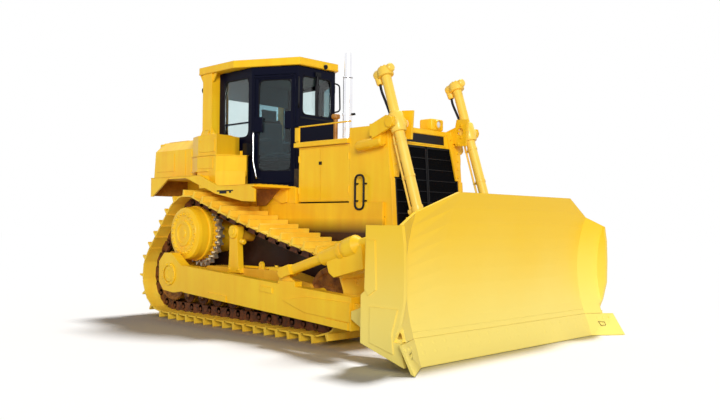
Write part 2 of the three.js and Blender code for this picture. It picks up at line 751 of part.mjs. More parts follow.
function shrunkPlan(inset) {
  const diagonal = inset * 0.25;
  return [
    [cabRear + inset, -cabSide + inset], [cabCorner - diagonal, -cabSide + inset],
    [cabFront.x - inset, -cabFront.half + diagonal], [cabFront.x - inset, cabFront.half - diagonal],
    [cabCorner - diagonal, cabSide - inset], [cabRear + inset, cabSide - inset],
  ];
}

const windowTop = 3320;
const quarterRear = -1130;
const quarterFront = -560;
const quarterFoot = 2500;
const doorFrom = 40;
const doorTo = doorRun - 42;

function cabFrame() {
  const outer = deckPlate(cabPlan, cabFloor, cabCeiling);
  const room = deckPlate(shrunkPlan(cabWall), doorBottom - 7, cabCeiling - 60);
  const doorHole = doorPlate(doorFrom - 6, doorTo + 6, -120, 60, doorBottom - 6, doorTop + 6);
  const sideWindow = block(quarterRear, quarterFront, cabSide - 100, cabSide + 20, quarterFoot, windowTop);
  const windscreen = block(cabFront.x - 80, cabFront.x + 20, -265, 265, 2790, windowTop);
  const rearWindow = block(cabRear - 20, cabRear + 80, -530, 530, 2560, windowTop);
  return outer.subtract(room).subtract(doorHole).subtract(mirrored(doorHole))
    .subtract(sideWindow).subtract(mirrored(sideWindow)).subtract(windscreen).subtract(rearWindow);
}
add('cab_frame', cabFrame(), cabBlack);

const glassGap = 3;
addPair('side_glass', block(
  quarterRear + glassGap, quarterFront - glassGap, cabSide - 27, cabSide - 17,
  quarterFoot + glassGap, windowTop - glassGap,
), glassTint);
const windscreen = block(cabFront.x - 27, cabFront.x - 17, -262, 262, 2793, windowTop - glassGap);
add('windscreen', windscreen, glassTint);
add('rear_glass', block(cabRear + 17, cabRear + 27, -527, 527, 2563, windowTop - glassGap), glassTint);

function cabDoor() {
  const leaf = doorPlate(doorFrom, doorTo, -doorThickness, 0, doorBottom, doorTop);
  const pane = doorPlate(doorFrom + 60, doorTo - 60, -100, 60, 2030, 3270);
  return leaf.subtract(pane);
}
addPair('cab_door', cabDoor(), cabBlack);
addPair('door_glass', doorPlate(doorFrom + 63, doorTo - 63, -27, -17, 2033, 3267), glassTint);

function ropsCanopy() {
  const roofPlan = [
    [roofRear, -roofSide.half], [roofSide.x, -roofSide.half], [roofFront.x, -roofFront.half],
    [roofFront.x, roofFront.half], [roofSide.x, roofSide.half], [roofRear, roofSide.half],
  ];
  const roof = deckPlate(roofPlan, cabCeiling + 9, roofTop);
  const post = block(-1480, -1260, 610, 780, 2501 + gap, cabCeiling + 20);
  const flange = block(-1500, -1250, 600, 830, 2501 + gap, 2530);
  return join(roof, post, mirrored(post), flange, mirrored(flange));
}
add('rops_canopy', ropsCanopy(), yellow);

const seat = join(
  block(-900, -420, -260, 260, 2180, 2320),
  block(-1010, -860, -250, 250, 2200, 2980),
  block(-880, -480, -200, 200, doorBottom - 7 + gap, 2190),
);
add('operator_seat', seat, seatVinyl);
add('control_console', block(-160, -10, -200, 200, doorBottom - 7 + gap, 2500), cabBlack);

// ---- tanks and fenders ----
// Three steps, each shorter than the one below, standing on the fender beside the cab.
const saddleTank = join(
  deckPlate([[-1000, 705], [-500, 705], [-400, 800], [-390, 830], [-745, 1180], [-1000, 1180]], 1951, 2020),
  deckPlate([[-744, 705], [-500, 705], [-390, 830], [-570, 1180], [-744, 1180]], 1806, 2020),
  deckPlate([
    [-1240, 705], [-500, 705], [-405, 800], [-565, 1180], [-1000, 1180], [-1240, 1100],
  ], 2010, 2230),
  deckPlate([
    [-1240, 705], [-700, 705], [-660, 800], [-570, 1170], [-1000, 1170], [-1240, 1090],
  ], 2220, 2501),
);
add('hydraulic_tank_right', mirrored(saddleTank), yellow);
add('battery_box_left', saddleTank, yellow);

const tankRear = -2340;
const fuelTank = crossPlate([
  [-595, 1700], [595, 1700], [595, 1960], [1040, 1960], [1040, 2360], [900, 2501], [-900, 2501],
  [-1040, 2360], [-1040, 1960], [-595, 1960],
], tankRear, -1245).subtract(sidePlate([
  [tankRear - 1, 1900], [tankRear + 60, 2502], [tankRear - 1, 2502],
], -1050, 1050));
add('fuel_tank', fuelTank, yellow);

function fender() {
  const skirt = sidePlate([
    [-1980, 1945], [-1980, 1690], [-1940, 1690], [-1540, 1925], [-1083, 1925], [-405, 1704],
    [171, 1599], [420, 1590], [420, 1740], [300, 1800], [-340, 1800], [-760, 1950],
  ], 1275, 1300);
  const deck = sidePlate([
    [-1980, 1925], [-1980, 1950], [-745, 1950], [-745, 1805], [-340, 1805], [400, 1800], [400, 1775],
    [-350, 1780], [-770, 1780], [-770, 1925],
  ], 620, 1300);
  const wall = block(-1240, 480, 600, frameHalfWidth, frameTop + gap, 1785);
  const rearWall = block(-2100, -1240, 600, frameHalfWidth, frameTop + gap, 1945);
  const cabRoom = block(cabRear - 4, 105, 0, cabSide + 4, cabFloor - gap, 2000);
  return join(skirt, deck, wall, rearWall).subtract(cabRoom);
}
addPair('fender', fender(), yellow);

export default machine;
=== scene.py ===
import bpy, bmesh, json, math
from mathutils import Vector, Matrix


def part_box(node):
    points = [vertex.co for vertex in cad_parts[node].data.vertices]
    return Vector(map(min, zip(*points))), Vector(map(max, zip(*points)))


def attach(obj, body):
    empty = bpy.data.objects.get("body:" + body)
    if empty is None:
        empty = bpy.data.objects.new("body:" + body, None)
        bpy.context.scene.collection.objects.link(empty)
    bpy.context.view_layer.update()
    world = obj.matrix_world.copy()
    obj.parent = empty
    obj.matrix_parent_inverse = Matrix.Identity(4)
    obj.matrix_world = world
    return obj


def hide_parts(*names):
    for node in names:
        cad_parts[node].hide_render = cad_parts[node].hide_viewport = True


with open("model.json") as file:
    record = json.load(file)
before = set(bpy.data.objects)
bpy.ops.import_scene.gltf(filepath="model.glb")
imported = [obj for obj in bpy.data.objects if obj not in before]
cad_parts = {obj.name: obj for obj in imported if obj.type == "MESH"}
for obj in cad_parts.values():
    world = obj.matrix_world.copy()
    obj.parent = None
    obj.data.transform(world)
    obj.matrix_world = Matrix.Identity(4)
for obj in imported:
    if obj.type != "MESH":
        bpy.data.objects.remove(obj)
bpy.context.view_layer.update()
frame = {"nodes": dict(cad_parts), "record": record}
scene = bpy.context.scene


# ---- The view ----
# The camera stands off the right front corner at about chest height and looks a little up,
# with a lens a touch longer than normal.
azimuth, pitch, roll = math.radians(44.592), math.radians(1.007), math.radians(0.589)
ahead = Vector((-math.sin(azimuth) * math.cos(pitch), math.cos(azimuth) * math.cos(pitch), math.sin(pitch)))
level = Vector((math.cos(azimuth), math.sin(azimuth), 0))
upright = level.cross(ahead)
right = level * math.cos(roll) + upright * math.sin(roll)
up = upright * math.cos(roll) - level * math.sin(roll)
camera = bpy.data.objects.new("camera", bpy.data.cameras.new("camera"))
camera.data.lens = 39.33
camera.data.sensor_width = 36
camera.data.clip_end = 200
facing = Matrix((right, up, -ahead)).transposed().to_4x4()
camera.matrix_world = Matrix.Translation((7.510, -7.211, 1.332)) @ facing
scene.collection.objects.link(camera)
scene.camera = camera
scene.view_settings.view_transform = "Standard"


# ---- The studio ----
# A white floor with no edge, a broad lamp overhead that lays the shadow under the machine, a second
# one before its right front corner for the plates that face that way, and an even white surround.
def linear(code):
    channels = [int(code[i:i + 2], 16) / 255 for i in (0, 2, 4)]
    return [c / 12.92 if c <= 0.04045 else ((c + 0.055) / 1.055) ** 2.4 for c in channels] + [1]


def add_node(tree, kind, sockets=None, **settings):
    """Adds one node with its settings; each named socket gets a value, or a link from a node or an output."""
    made = tree.nodes.new("ShaderNode" + kind)
    for key, value in settings.items():
        setattr(made, key, value)
    for key, value in (sockets or {}).items():
        if isinstance(value, bpy.types.Node):
            value = value.outputs[0]
        if isinstance(value, bpy.types.NodeSocket):
            tree.links.new(value, made.inputs[key])
        else:
            made.inputs[key].default_value = value
    return made


world = bpy.data.worlds.new("white surround")
scene.world = world
world.use_nodes = True
world.node_tree.nodes.clear()
path = add_node(world.node_tree, "LightPath")
seen = add_node(world.node_tree, "Math", {0: path.outputs["Is Camera Ray"],
    1: path.outputs["Is Glossy Ray"]}, operation="MAXIMUM")
seen = add_node(world.node_tree, "Math", {0: seen, 1: path.outputs["Is Transmission Ray"]},
                operation="MAXIMUM")
surround = add_node(world.node_tree, "Mix", {"Factor": seen, 2: 0.18, 3: 1.0}, data_type="FLOAT")
sky = add_node(world.node_tree, "Background", {"Color": (1, 1, 1, 1), "Strength": surround})
add_node(world.node_tree, "OutputWorld", {"Surface": sky})


def add_lamp(name, strength, softness, aim):
    lamp = bpy.data.objects.new(name, bpy.data.lights.new(name, "SUN"))
    lamp.data.energy = strength
    lamp.data.angle = math.radians(softness)
    lamp.rotation_mode = "QUATERNION"
    lamp.rotation_quaternion = Vector(aim).to_track_quat("-Z", "Y")
    scene.collection.objects.link(lamp)
    return lamp


add_lamp("overhead lamp", 3.0, 11, (0.10, -0.46, -0.88))
front_lamp = add_lamp("front lamp", 2.35, 24, (-0.72, 0.62, -0.30))

bm = bmesh.new()
bmesh.ops.create_circle(bm, cap_ends=True, radius=60, segments=64)
floor_mesh = bpy.data.meshes.new("floor")
bm.to_mesh(floor_mesh)
bm.free()
floor = bpy.data.objects.new("floor", floor_mesh)
scene.collection.objects.link(floor)
matt_white = bpy.data.materials.new("matt white studio floor")
matt_white.use_nodes = True
tree = matt_white.node_tree
tree.nodes.clear()
path = add_node(tree, "LightPath")
dull = add_node(tree, "BsdfDiffuse", {"Color": (0.62, 0.62, 0.62, 1)})
bright = add_node(tree, "BsdfDiffuse", {"Color": (0.98, 0.98, 0.98, 1)})
both = add_node(tree, "MixShader", {0: path.outputs["Is Camera Ray"], 1: dull, 2: bright})
add_node(tree, "OutputMaterial", {"Surface": both})
floor.data.materials.append(matt_white)
# The front lamp is flagged off the floor, so that the overhead lamp alone draws the shadow.
flagged_off = bpy.data.collections.new("out of the front lamp")
flagged_off.objects.link(floor)
flagged_off.collection_objects[0].light_linking.link_state = "EXCLUDE"
front_lamp.light_linking.receiver_collection = flagged_off


# ---- Welded structure ----
# Frames, arms, tanks and covers are steel plate, sprayed with chrome-yellow enamel. The enamel
# has a fine orange peel, rolls over rounded edges, and dulls with dust towards the ground.
def new_material(name):
    made = bpy.data.materials.new(name)
    made.use_nodes = True
    made.node_tree.nodes.clear()
    place = add_node(made.node_tree, "TexCoord").outputs["Object"]
    return made, made.node_tree, place


def enamel(name, colour, shade, dirt, dirt_top, dirt_foot, dirt_most, roughness=0.34, cover=(0.36, 0.62)):
    """Sprayed enamel with a cloudy shade, and dirt that thickens from dirt_top down to dirt_foot.

    Dirt covers where the grit is over the first value of cover, and is whole at the second.
    """
    made, tree, place = new_material(name)
    # Cloudy patches are about 0.6 m across, and faint streaks run down from the edges of plates.
    cloud = add_node(tree, "TexNoise", {"Vector": place, "Scale": 1.7, "Detail": 5, "Roughness": 0.6})
    stretch = add_node(tree, "Mapping", {"Vector": place, "Scale": (9, 9, 0.8)})
    streak = add_node(tree, "TexNoise", {"Vector": stretch, "Scale": 1, "Detail": 4})
    blend = add_node(tree, "Math", {0: cloud, 1: streak}, operation="MULTIPLY")
    tone = add_node(tree, "MapRange", {"Value": blend, "From Min": 0.12, "From Max": 0.38})
    paint = add_node(tree, "Mix", {"Factor": tone, 6: linear(shade), 7: linear(colour)}, data_type="RGBA")
    height = add_node(tree, "SeparateXYZ", {0: place}).outputs["Z"]
    # Dried mud in grains of 10 to 40 mm.
    grit = add_node(tree, "TexNoise", {"Vector": place, "Scale": 16, "Detail": 8, "Roughness": 0.7})
    low = add_node(tree, "MapRange", {"Value": height, "From Min": dirt_top, "From Max": dirt_foot,
        "To Max": dirt_most})
    spots = add_node(tree, "MapRange", {"Value": grit, "From Min": cover[0], "From Max": cover[1]})
    dirty = add_node(tree, "Math", {0: low, 1: spots}, operation="MULTIPLY")
    top = add_node(tree, "Mix", {"Factor": dirty, 6: paint.outputs[2], 7: linear(dirt)}, data_type="RGBA")
    gloss = add_node(tree, "MapRange", {"Value": grit, "To Min": roughness - 0.05,
        "To Max": roughness + 0.12})
    # Orange peel is about 3 mm across; it is drawn at 12 mm so that it shows.
    skin = add_node(tree, "TexNoise", {"Vector": place, "Scale": 80, "Detail": 2})
    rounded = add_node(tree, "Bevel", {"Radius": 0.008}, samples=4)
    bump = add_node(tree, "Bump", {"Strength": 0.05, "Distance": 0.004, "Height": skin, "Normal": rounded})
    shader = add_node(tree, "BsdfPrincipled", {"Base Color": top.outputs[2], "Roughness": gloss,
        "Normal": bump, "IOR": 1.5, "Specular IOR Level": 0.3, "Coat Weight": 0.1, "Coat Roughness": 0.15})
    add_node(tree, "OutputMaterial", {"Surface": shader})
    return made


def dress(material, *nodes):
    """Gives CAD nodes their finish."""
    for name in nodes:
        mesh = frame["nodes"][name].data
        mesh.materials.clear()
        mesh.materials.append(material)


yellow = enamel("chrome-yellow machine enamel", "ffd124", "fac018", "b98a4c", 0.5, 0.04, 0.10)
dress(yellow, "drawbar", "fuel_tank", "hydraulic_tank_right", "battery_box_left", "fender_left",
      "fender_right", "radiator_guard", "hood", "engine_door_rear_left", "engine_door_rear_right",
      "engine_door_front_left", "engine_door_front_right", "rops_canopy", "blade", "cutting_edge",
      "end_bit_left", "end_bit_right", "push_arm_left", "push_arm_right", "trunnion_cap_left",
      "trunnion_cap_right", "brace_left", "tilt_cylinder_barrel", "tilt_cylinder_rod",
      "lift_cylinder_barrel_left", "lift_cylinder_barrel_right")
# The rails between the tracks turn dark brown low down, almost solid below 1.22 m.
rail_enamel_dark_low = enamel("rail enamel dark brown low down", "ffd124", "f4b71a", "34160a", 1.40, 1.22, 1.0, 0.42,
    cover=(0.12, 0.30))
dress(rail_enamel_dark_low, "main_frame")


# ---- Crawler tracks ----
# A chain of forged links on pins and bushings runs round two idlers and the raised sprocket. A rolled
# shoe with one grouser bar is bolted to each link with four bolts; the links are bare, oily and rusty.
def make_piece(name, bm, body, slot, *finishes, sharp=32):
    """Makes a piece of a bmesh, smooth up to the sharp angle, that rides on a body."""
    bmesh.ops.recalc_face_normals(bm, faces=bm.faces)
    mesh = bpy.data.meshes.new(name)
    bm.to_mesh(mesh)
    bm.free()
    mesh.shade_smooth()
    mesh.set_sharp_from_angle(angle=math.radians(sharp))
    for finish in finishes:
        mesh.materials.append(finish)
    piece = bpy.data.objects.new(name, mesh)
    scene.collection.objects.link(piece)
    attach(piece, body)
    return piece


def add_block(bm, corner, opposite, finish=0):
    """Adds a block between two opposite corners."""
    low = Vector([min(pair) for pair in zip(corner, opposite)])
    high = Vector([max(pair) for pair in zip(corner, opposite)])
    place = Matrix.Translation((low + high) / 2) @ Matrix.Diagonal((*(high - low), 1))
    made = bmesh.ops.create_cube(bm, size=1, matrix=place)["verts"]
    for face in {face for vert in made for face in vert.link_faces}:
        face.material_index = finish
    return made


def round_edges(bm, verts, width):
    edges = list({edge for vert in verts for edge in vert.link_edges})
    bmesh.ops.bevel(bm, geom=edges, offset=width, affect="EDGES", segments=3, profile=0.5, material=-1)


def add_plate(bm, outline, thickness, finish=0):
    """Adds a flat outline made solid along the thickness vector."""
    face = bm.faces.new([bm.verts.new(point) for point in outline])
    grown = bmesh.ops.extrude_face_region(bm, geom=[face])["geom"]
    raised = [part for part in grown if isinstance(part, bmesh.types.BMVert)]
    bmesh.ops.translate(bm, vec=Vector(thickness), verts=raised)
    for face in {face for vert in raised + list(face.verts) for face in vert.link_faces}:
        face.material_index = finish


def add_turned(bm, start, direction, profile, sides=32, finish=0, ring=False):
    """Spins a profile of (distance, radius) pairs about a line; a ring's profile closes on itself."""
    start, axis = Vector(start), Vector(direction).normalized()
    out = axis.orthogonal().normalized()
    first = len(bm.verts)
    line = [bm.verts.new(start + axis * along + out * radius) for along, radius in profile]
    pairs = list(zip(line, line[1:])) + ([(line[-1], line[0])] if ring else [])
    edges = [bm.edges.new(pair) for pair in pairs]
    bmesh.ops.spin(bm, geom=line + edges, cent=start, axis=axis, angle=2 * math.pi, steps=sides,
                   use_merge=True)
    bm.verts.ensure_lookup_table()
    made = bm.verts[first:]
    for face in {face for vert in made for face in vert.link_faces}:
        face.material_index = finish
    bmesh.ops.remove_doubles(bm, verts=made, dist=0.0001)


def add_disc(bm, start, direction, radius, height, sides=6):
    """Adds a boss that stands on its start point, such as a bolt head."""
    add_turned(bm, start, direction, [(0, radius), (height, radius), (height, 0)], sides)


def add_bolt_circle(bm, centre, side, reach, count, profile, shift=0.5):
    """Adds a circle of bolts that face one side of the machine."""
    for bolt in range(count):
        turn = 2 * math.pi * (bolt + shift) / count
        start = (centre[0] + reach * math.cos(turn), centre[1], centre[2] + reach * math.sin(turn))
        add_turned(bm, start, (0, side, 0), profile, 6)


def add_rod(bm, start, end, radius, sides=16, finish=0):
    """Adds a round bar between two points."""
    line = Vector(end) - Vector(start)
    add_turned(bm, start, line, [(0, 0), (0, radius), (line.length, radius), (line.length, 0)], sides,
               finish)


track_middle = 1.0415
front_idler = (1.059, 0.535, 0.370)        # x, z and radius to the track pins
rear_idler = (-2.147, 0.575, 0.410)
sprocket = (-1.574, 1.180, 0.434)
shoe_count = 44
shoe_half = 0.305
top_sag = 0.045


def touch_angle(wheel, after):
    """Angle on both wheels where the straight run from one to the other touches them."""
    along, rise = after[0] - wheel[0], after[1] - wheel[1]
    lean = math.asin((wheel[2] - after[2]) / math.hypot(along, rise))
    return (math.atan2(rise, along) - math.pi / 2 + lean) % (2 * math.pi)


def wheel_arc(wheel, start, end):
    steps = math.ceil((end - start) * wheel[2] / 0.012)
    angles = [start + (end - start) * step / steps for step in range(steps)]
    return [Vector((wheel[0] + wheel[2] * math.cos(a), 0,
                    wheel[1] + wheel[2] * math.sin(a))) for a in angles]


leave_idler = touch_angle(front_idler, sprocket)
leave_sprocket = touch_angle(sprocket, rear_idler)
pin_line = wheel_arc(front_idler, -math.pi / 2, leave_idler)
over_sprocket = wheel_arc(sprocket, leave_idler, leave_sprocket)
run_start = Vector((front_idler[0] + front_idler[2] * math.cos(leave_idler), 0,
                    front_idler[1] + front_idler[2] * math.sin(leave_idler)))
for step in range(40):
    part = step / 40
    pin_line.append(run_start.lerp(over_sprocket[0], part) - Vector((0, 0,
        4 * top_sag * part * (1 - part))))
pin_line += over_sprocket + wheel_arc(rear_idler, leave_sprocket, 1.5 * math.pi)
pin_line.append(Vector((rear_idler[0], 0, rear_idler[1] - rear_idler[2])))
run_lengths = [(after - point).length for point, after in zip(pin_line, pin_line[1:] + pin_line[:1])]
shoe_pitch = sum(run_lengths) / shoe_count


def on_pin_line(distance):
    distance %= shoe_pitch * shoe_count
    for point, after, length in zip(pin_line, pin_line[1:] + pin_line[:1], run_lengths):
        if distance <= length:
            return point.lerp(after, distance / length)
        distance -= length


def copy_along_track(pattern, middle):
    """Copies one link's mesh to every pitch of the track; X runs along, Y outwards and Z across it."""
    bm = bmesh.new()
    for link in range(shoe_count):
        start, end = on_pin_line(link * shoe_pitch), on_pin_line((link + 1) * shoe_pitch)
        along = (end - start).normalized()
        out = Vector((along.z, 0, -along.x))
        turn = Matrix((along, out, Vector((0, 1, 0)))).transposed().to_4x4()
        first = len(bm.verts)
        bm.from_mesh(pattern)
        bm.verts.ensure_lookup_table()
        place = Matrix.Translation(start + Vector((0, middle, 0))) @ turn
        bmesh.ops.transform(bm, matrix=place, verts=bm.verts[first:])
    return bm


bm = bmesh.new()
shoe_section = [(-0.044, 0.056), (-0.044, 0.064), (-0.004, 0.088), (0.62, 0.090), (0.665, 0.162),
                (0.695, 0.165), (0.755, 0.165), (0.775, 0.162), (0.82, 0.090), (0.985, 0.083),
                (0.985, 0.069), (0.05, 0.069)]
outline = [(along if along < 0 else along * shoe_pitch, out, -shoe_half) for along, out in shoe_section]
add_plate(bm, outline, (0, 0, 2 * shoe_half))
for along in (0.062, 0.108):
    for across in (-0.088, 0.088):
        add_turned(bm, (along, 0.086, across), (0, 1, 0), [(0, 0.019), (0.016, 0.019), (0.019, 0.015),
            (0.019, 0)], 6)
shoe_mesh = bpy.data.meshes.new("one track shoe")
bm.to_mesh(shoe_mesh)
bm.free()

bm = bmesh.new()
link_side = [(-0.044, -0.018), (-0.030, -0.050), (0.010, -0.058), (0.200, -0.058), (0.236, -0.052),
             (0.252, -0.020), (0.250, 0.022), (0.222, 0.040), (0.180, 0.068), (0.040, 0.068),
             (0.016, 0.034), (-0.034, 0.026)]
for inner, outer, shift in ((0.072, 0.110, 0), (-0.110, -0.072, 0)):
    add_plate(bm, [(along, out, inner) for along, out in link_side], (0, 0, outer - inner))
add_rod(bm, (0, 0, -0.072), (0, 0, 0.072), 0.034, 14)
add_turned(bm, (0, 0, -0.115), (0, 0, 1), [(0, 0), (0, 0.024), (0.23, 0.024), (0.23, 0)], 10)
for across in (-0.112, 0.112):
    add_turned(bm, (0.125, 0.010, across - math.copysign(0.001, across)), (0, 0, across),
               [(0, 0.030), (0.003, 0.026), (0.003, 0)], 8)
link_mesh = bpy.data.meshes.new("one track link")
bm.to_mesh(link_mesh)
bm.free()


def oily_steel_and_painted_shade(name, colour, rust, roughness):
    """Forged steel under oil, rust and dried soil, in patches 20 to 100 mm across; also gives brown painted
    shade.
    """
    made, tree, place = new_material(name)
    patch = add_node(tree, "TexNoise", {"Vector": place, "Scale": 12, "Detail": 8, "Roughness": 0.65})
    spread = add_node(tree, "MapRange", {"Value": patch, "From Min": 0.35, "From Max": 0.65})
    tint = add_node(tree, "Mix", {"Factor": spread, 6: linear(colour), 7: linear(rust)}, data_type="RGBA")
    rounded = add_node(tree, "Bevel", {"Radius": 0.006}, samples=4)
    bump = add_node(tree, "Bump", {"Strength": 0.35, "Distance": 0.003, "Height": patch, "Normal": rounded})
    shader = add_node(tree, "BsdfPrincipled", {"Base Color": tint.outputs[2], "Normal": bump,
        "Roughness": roughness, "Metallic": 0.15})
    add_node(tree, "OutputMaterial", {"Surface": shader})
    return made


# The shoes' yellow is lighter than the machine's as painted light, so that their shaded inner faces look lit;
# brown dust lies towards the ground.
shoe_enamel_with_painted_light = enamel("worn shoe enamel lightened as painted light", "ffd848", "fcc630", "a5682b", 0.30, 0.03, 0.2, 0.42)
link_steel = oily_steel_and_painted_shade("oily forged link steel", "3c1d0b", "7c4318", 0.62)
for side, node in ((1, "track_left"), (-1, "track_right")):
    shoes = make_piece(f"shoes_of_{node}", copy_along_track(shoe_mesh, side * track_middle), "chassis",
                       "track_shoe", shoe_enamel_with_painted_light)
    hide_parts(node)
    make_piece(f"links_of_{node}", copy_along_track(link_mesh, side * track_middle), "chassis",
               "track_shoe", link_steel)


# ---- Track frames, idlers and rollers ----
# A welded box beam carries eight bottom rollers, two idlers and a carrier roller on a post. The beam's
# top is painted; rollers, idlers and the beam's underside are coated in oil and brown soil.
frame_enamel = enamel("soiled frame enamel", "f6c034", "e8a925", "5d2b0f", 0.56, 0.44, 1.0, 0.45)
dress(frame_enamel, "track_frame_left", "track_frame_right")
roller_steel = oily_steel_and_painted_shade("soiled roller steel", "381a08", "6b3810", 0.7)
idler_steel = oily_steel_and_painted_shade("soiled idler iron", "6b3d14", "b0752c", 0.6)
for side, node in ((1, "track_frame_left"), (-1, "track_frame_right")):
    bm = bmesh.new()
    for roller in range(8):
        x = -1.724 + roller * 0.330
        for face in (-1, 1):
            start = (x, side * track_middle + face * 0.1055, 0.3453)
            add_turned(bm, start, (0, face, 0), [(0, 0.121), (0.012, 0.121), (0.020, 0.112), (0.020, 0.070),
                (0.034, 0.062), (0.042, 0.050), (0.042, 0)], 24)
    make_piece(f"roller_flanges_of_{node}", bm, "chassis", "yellow_paint", roller_steel)
    bm = bmesh.new()
    for x, z, pin_radius in (front_idler, rear_idler):
        rim = pin_radius - 0.066
        for face in (-1, 1):
            start = (x, side * track_middle + face * 0.1003, z)
            add_turned(bm, start, (0, face, 0), [(0, rim - 0.004), (0.016, rim - 0.010),
                (0.016, rim - 0.060), (0.002, rim - 0.080), (0.002, 0.120), (0.052, 0.100), (0.060, 0.090),
                (0.060, 0)], 48)
    make_piece(f"idler_faces_of_{node}", bm, "chassis", "yellow_paint", idler_steel)

# Painted steel castings on the frame: a post that holds the carrier roller, a lifting eye and a bracket.
over_carrier = min((point for point in pin_line if point.z > 0.9), key=lambda point: abs(point.x + 0.584))
for side, node in ((1, "track_frame_left"), (-1, "track_frame_right")):
    bm = bmesh.new()
    x, top = over_carrier.x, over_carrier.z - 0.03
    outline = [(x - 0.13, 0.70), (x + 0.15, 0.70), (x + 0.10, 0.80), (x + 0.075, top - 0.16),
               (x + 0.10, top - 0.10), (x + 0.09, top - 0.02), (x + 0.04, top), (x - 0.04, top),
               (x - 0.09, top - 0.02), (x - 0.10, top - 0.10), (x - 0.075, top - 0.16), (x - 0.10, 0.80)]
    add_plate(bm, [(px, side * 1.160, pz) for px, pz in outline], (0, side * 0.085, 0))
    add_turned(bm, (x, side * 1.225, top - 0.085), (0, side, 0), [(0, 0.085), (0.035, 0.085),
        (0.045, 0.075), (0.045, 0.045), (0.055, 0.040), (0.055, 0)], 28)
    add_turned(bm, (x + 0.105, side * 1.20, top - 0.20), (1, 0, -0.2), [(0, 0.034), (0.06, 0.034),
        (0.07, 0.024), (0.07, 0)], 16)
    for bolt in (-0.085, 0.095):
        add_disc(bm, (x + bolt, side * 1.244, 0.745), (0, side, 0), 0.019, 0.014)
    make_piece(f"carrier_post_of_{node}", bm, "chassis", "yellow_paint", yellow)
    bm = bmesh.new()
    eye = [(-0.20, 0.755), (-0.10, 0.755), (-0.125, 0.835), (-0.135, 0.855), (-0.165, 0.855),
           (-0.175, 0.835)]
    add_plate(bm, [(px, side * 1.140, pz) for px, pz in eye], (0, side * 0.025, 0))
    add_turned(bm, (-0.150, side * 1.136, 0.812), (0, side, 0), [(0, 0.020), (0, 0.040), (0.033, 0.040),
        (0.033, 0.020)], 20, ring=True)
    add_block(bm, (0.04, side * 1.06, 0.758), (0.36, side * 1.19, 0.800))
    add_block(bm, (-0.70, side * 1.03, 0.758), (0.10, side * 1.05, 0.785))
    for bolt in (0.10, 0.30):
        add_disc(bm, (bolt, side * 1.125, 0.799), (0, 0, 1), 0.022, 0.018)
    add_rod(bm, (1.02, side * 1.19, 0.535), (1.02, side * 1.21, 0.535), 0.075, 28)
    make_piece(f"lifting_eye_of_{node}", bm, "chassis", "yellow_paint", yellow)


# ---- Final drives and sprockets ----
# The planetary case is a machined iron drum with a bolted round cover. Behind it five toothed segments
# are bolted to the sprocket; the teeth and their bolts are polished by the chain.
dress(yellow, "final_drive_left", "final_drive_right")


def bare_metal(name, scale, dull, bright, smoothest, roughest, metallic):
    """Polished metal that wears or hazes in patches."""
    made, tree, place = new_material(name)
    wear = add_node(tree, "TexNoise", {"Vector": place, "Scale": scale, "Detail": 5})
    gloss = add_node(tree, "MapRange", {"Value": wear, "To Min": smoothest, "To Max": roughest})
    tint = add_node(tree, "Mix", {"Factor": wear, 6: linear(dull), 7: linear(bright)}, data_type="RGBA")
    shader = add_node(tree, "BsdfPrincipled", {"Base Color": tint.outputs[2], "Roughness": gloss,
        "Metallic": metallic})
    add_node(tree, "OutputMaterial", {"Surface": shader})
    return made


# The wear is in patches about 30 mm across.
bright_steel = bare_metal("chain-polished steel", 30, "9a8f7c", "d8cfb8", 0.28, 0.52, 0.8)
tooth_step = 2 * math.pi / 25
first_pin = next(point for point in (on_pin_line(link * shoe_pitch) for link in range(shoe_count))
                 if abs((point - Vector((sprocket[0], 0, sprocket[1]))).length - sprocket[2]) < 0.002)
pin_angle = math.atan2(first_pin.z - sprocket[1], first_pin.x - sprocket[0])
for side, node in ((1, "final_drive_left"), (-1, "final_drive_right")):
    bm = bmesh.new()
    rim = []
    for tooth in range(25):
        for part, radius in ((0, 0.396), (0.22, 0.402), (0.40, 0.448), (0.60, 0.448), (0.78, 0.402)):
            turn = pin_angle + (tooth + part) * tooth_step
            rim.append((sprocket[0] + radius * math.cos(turn), side * (track_middle - 0.030),
                        sprocket[1] + radius * math.sin(turn)))
    add_plate(bm, rim, (0, side * 0.060, 0))
    add_bolt_circle(bm, (sprocket[0], side * (track_middle + 0.029), sprocket[1]), side, 0.378, 30,
                    [(0, 0.020), (0.030, 0.020), (0.034, 0.014), (0.034, 0)])
    make_piece(f"sprocket_teeth_of_{node}", bm, "chassis", "bright_steel", bright_steel)
    bm = bmesh.new()
    centre = (sprocket[0], side * 1.354, sprocket[1])
    add_turned(bm, centre, (0, side, 0), [(0, 0.292), (0.010, 0.286), (0.010, 0.236), (0.004, 0.230),
        (0.004, 0.176), (0.020, 0.170), (0.020, 0.132), (0.008, 0.126), (0.008, 0.060), (0.018, 0.054),
        (0.018, 0)], 56)
    for y, reach, count, shift, profile in ((1.363, 0.261, 24, 0, [(0, 0.014), (0.013, 0.014),
            (0.016, 0.010), (0.016, 0)]), (1.357, 0.205, 12, 0.5, [(0, 0.010), (0.008, 0.010),
            (0.008, 0)])):
        add_bolt_circle(bm, (centre[0], side * y, centre[2]), side, reach, count, profile, shift)
    add_turned(bm, (sprocket[0], side * 1.150, sprocket[1]), (0, side, 0), [(0, 0.352), (0, 0.372),
        (0.034, 0.372), (0.040, 0.366), (0.040, 0.352)], 56, ring=True)
    add_bolt_circle(bm, (sprocket[0], side * 1.100, sprocket[1]), side, 0.352, 28,
                    [(0, 0.013), (0.052, 0.013), (0.052, 0)], 0)
    make_piece(f"hub_cover_of_{node}", bm, "chassis", "yellow_paint", yellow)


# ---- Push arms, trunnions and braces ----
# Each arm is a box beam of 25 mm plate with welded pads; its rear housing holds a trunnion cap. Two
# round cheeks pinned at each end carry the tilt cylinder on the right, and a plain tube on the left.
arm_face = 1.5248
arm_slope = -0.0602


def arm_point(side, x, above):
    """A point on an arm's outer face, above its middle line."""
    return (x, side * arm_face, 0.404 + (x - 1.792) * arm_slope + above)


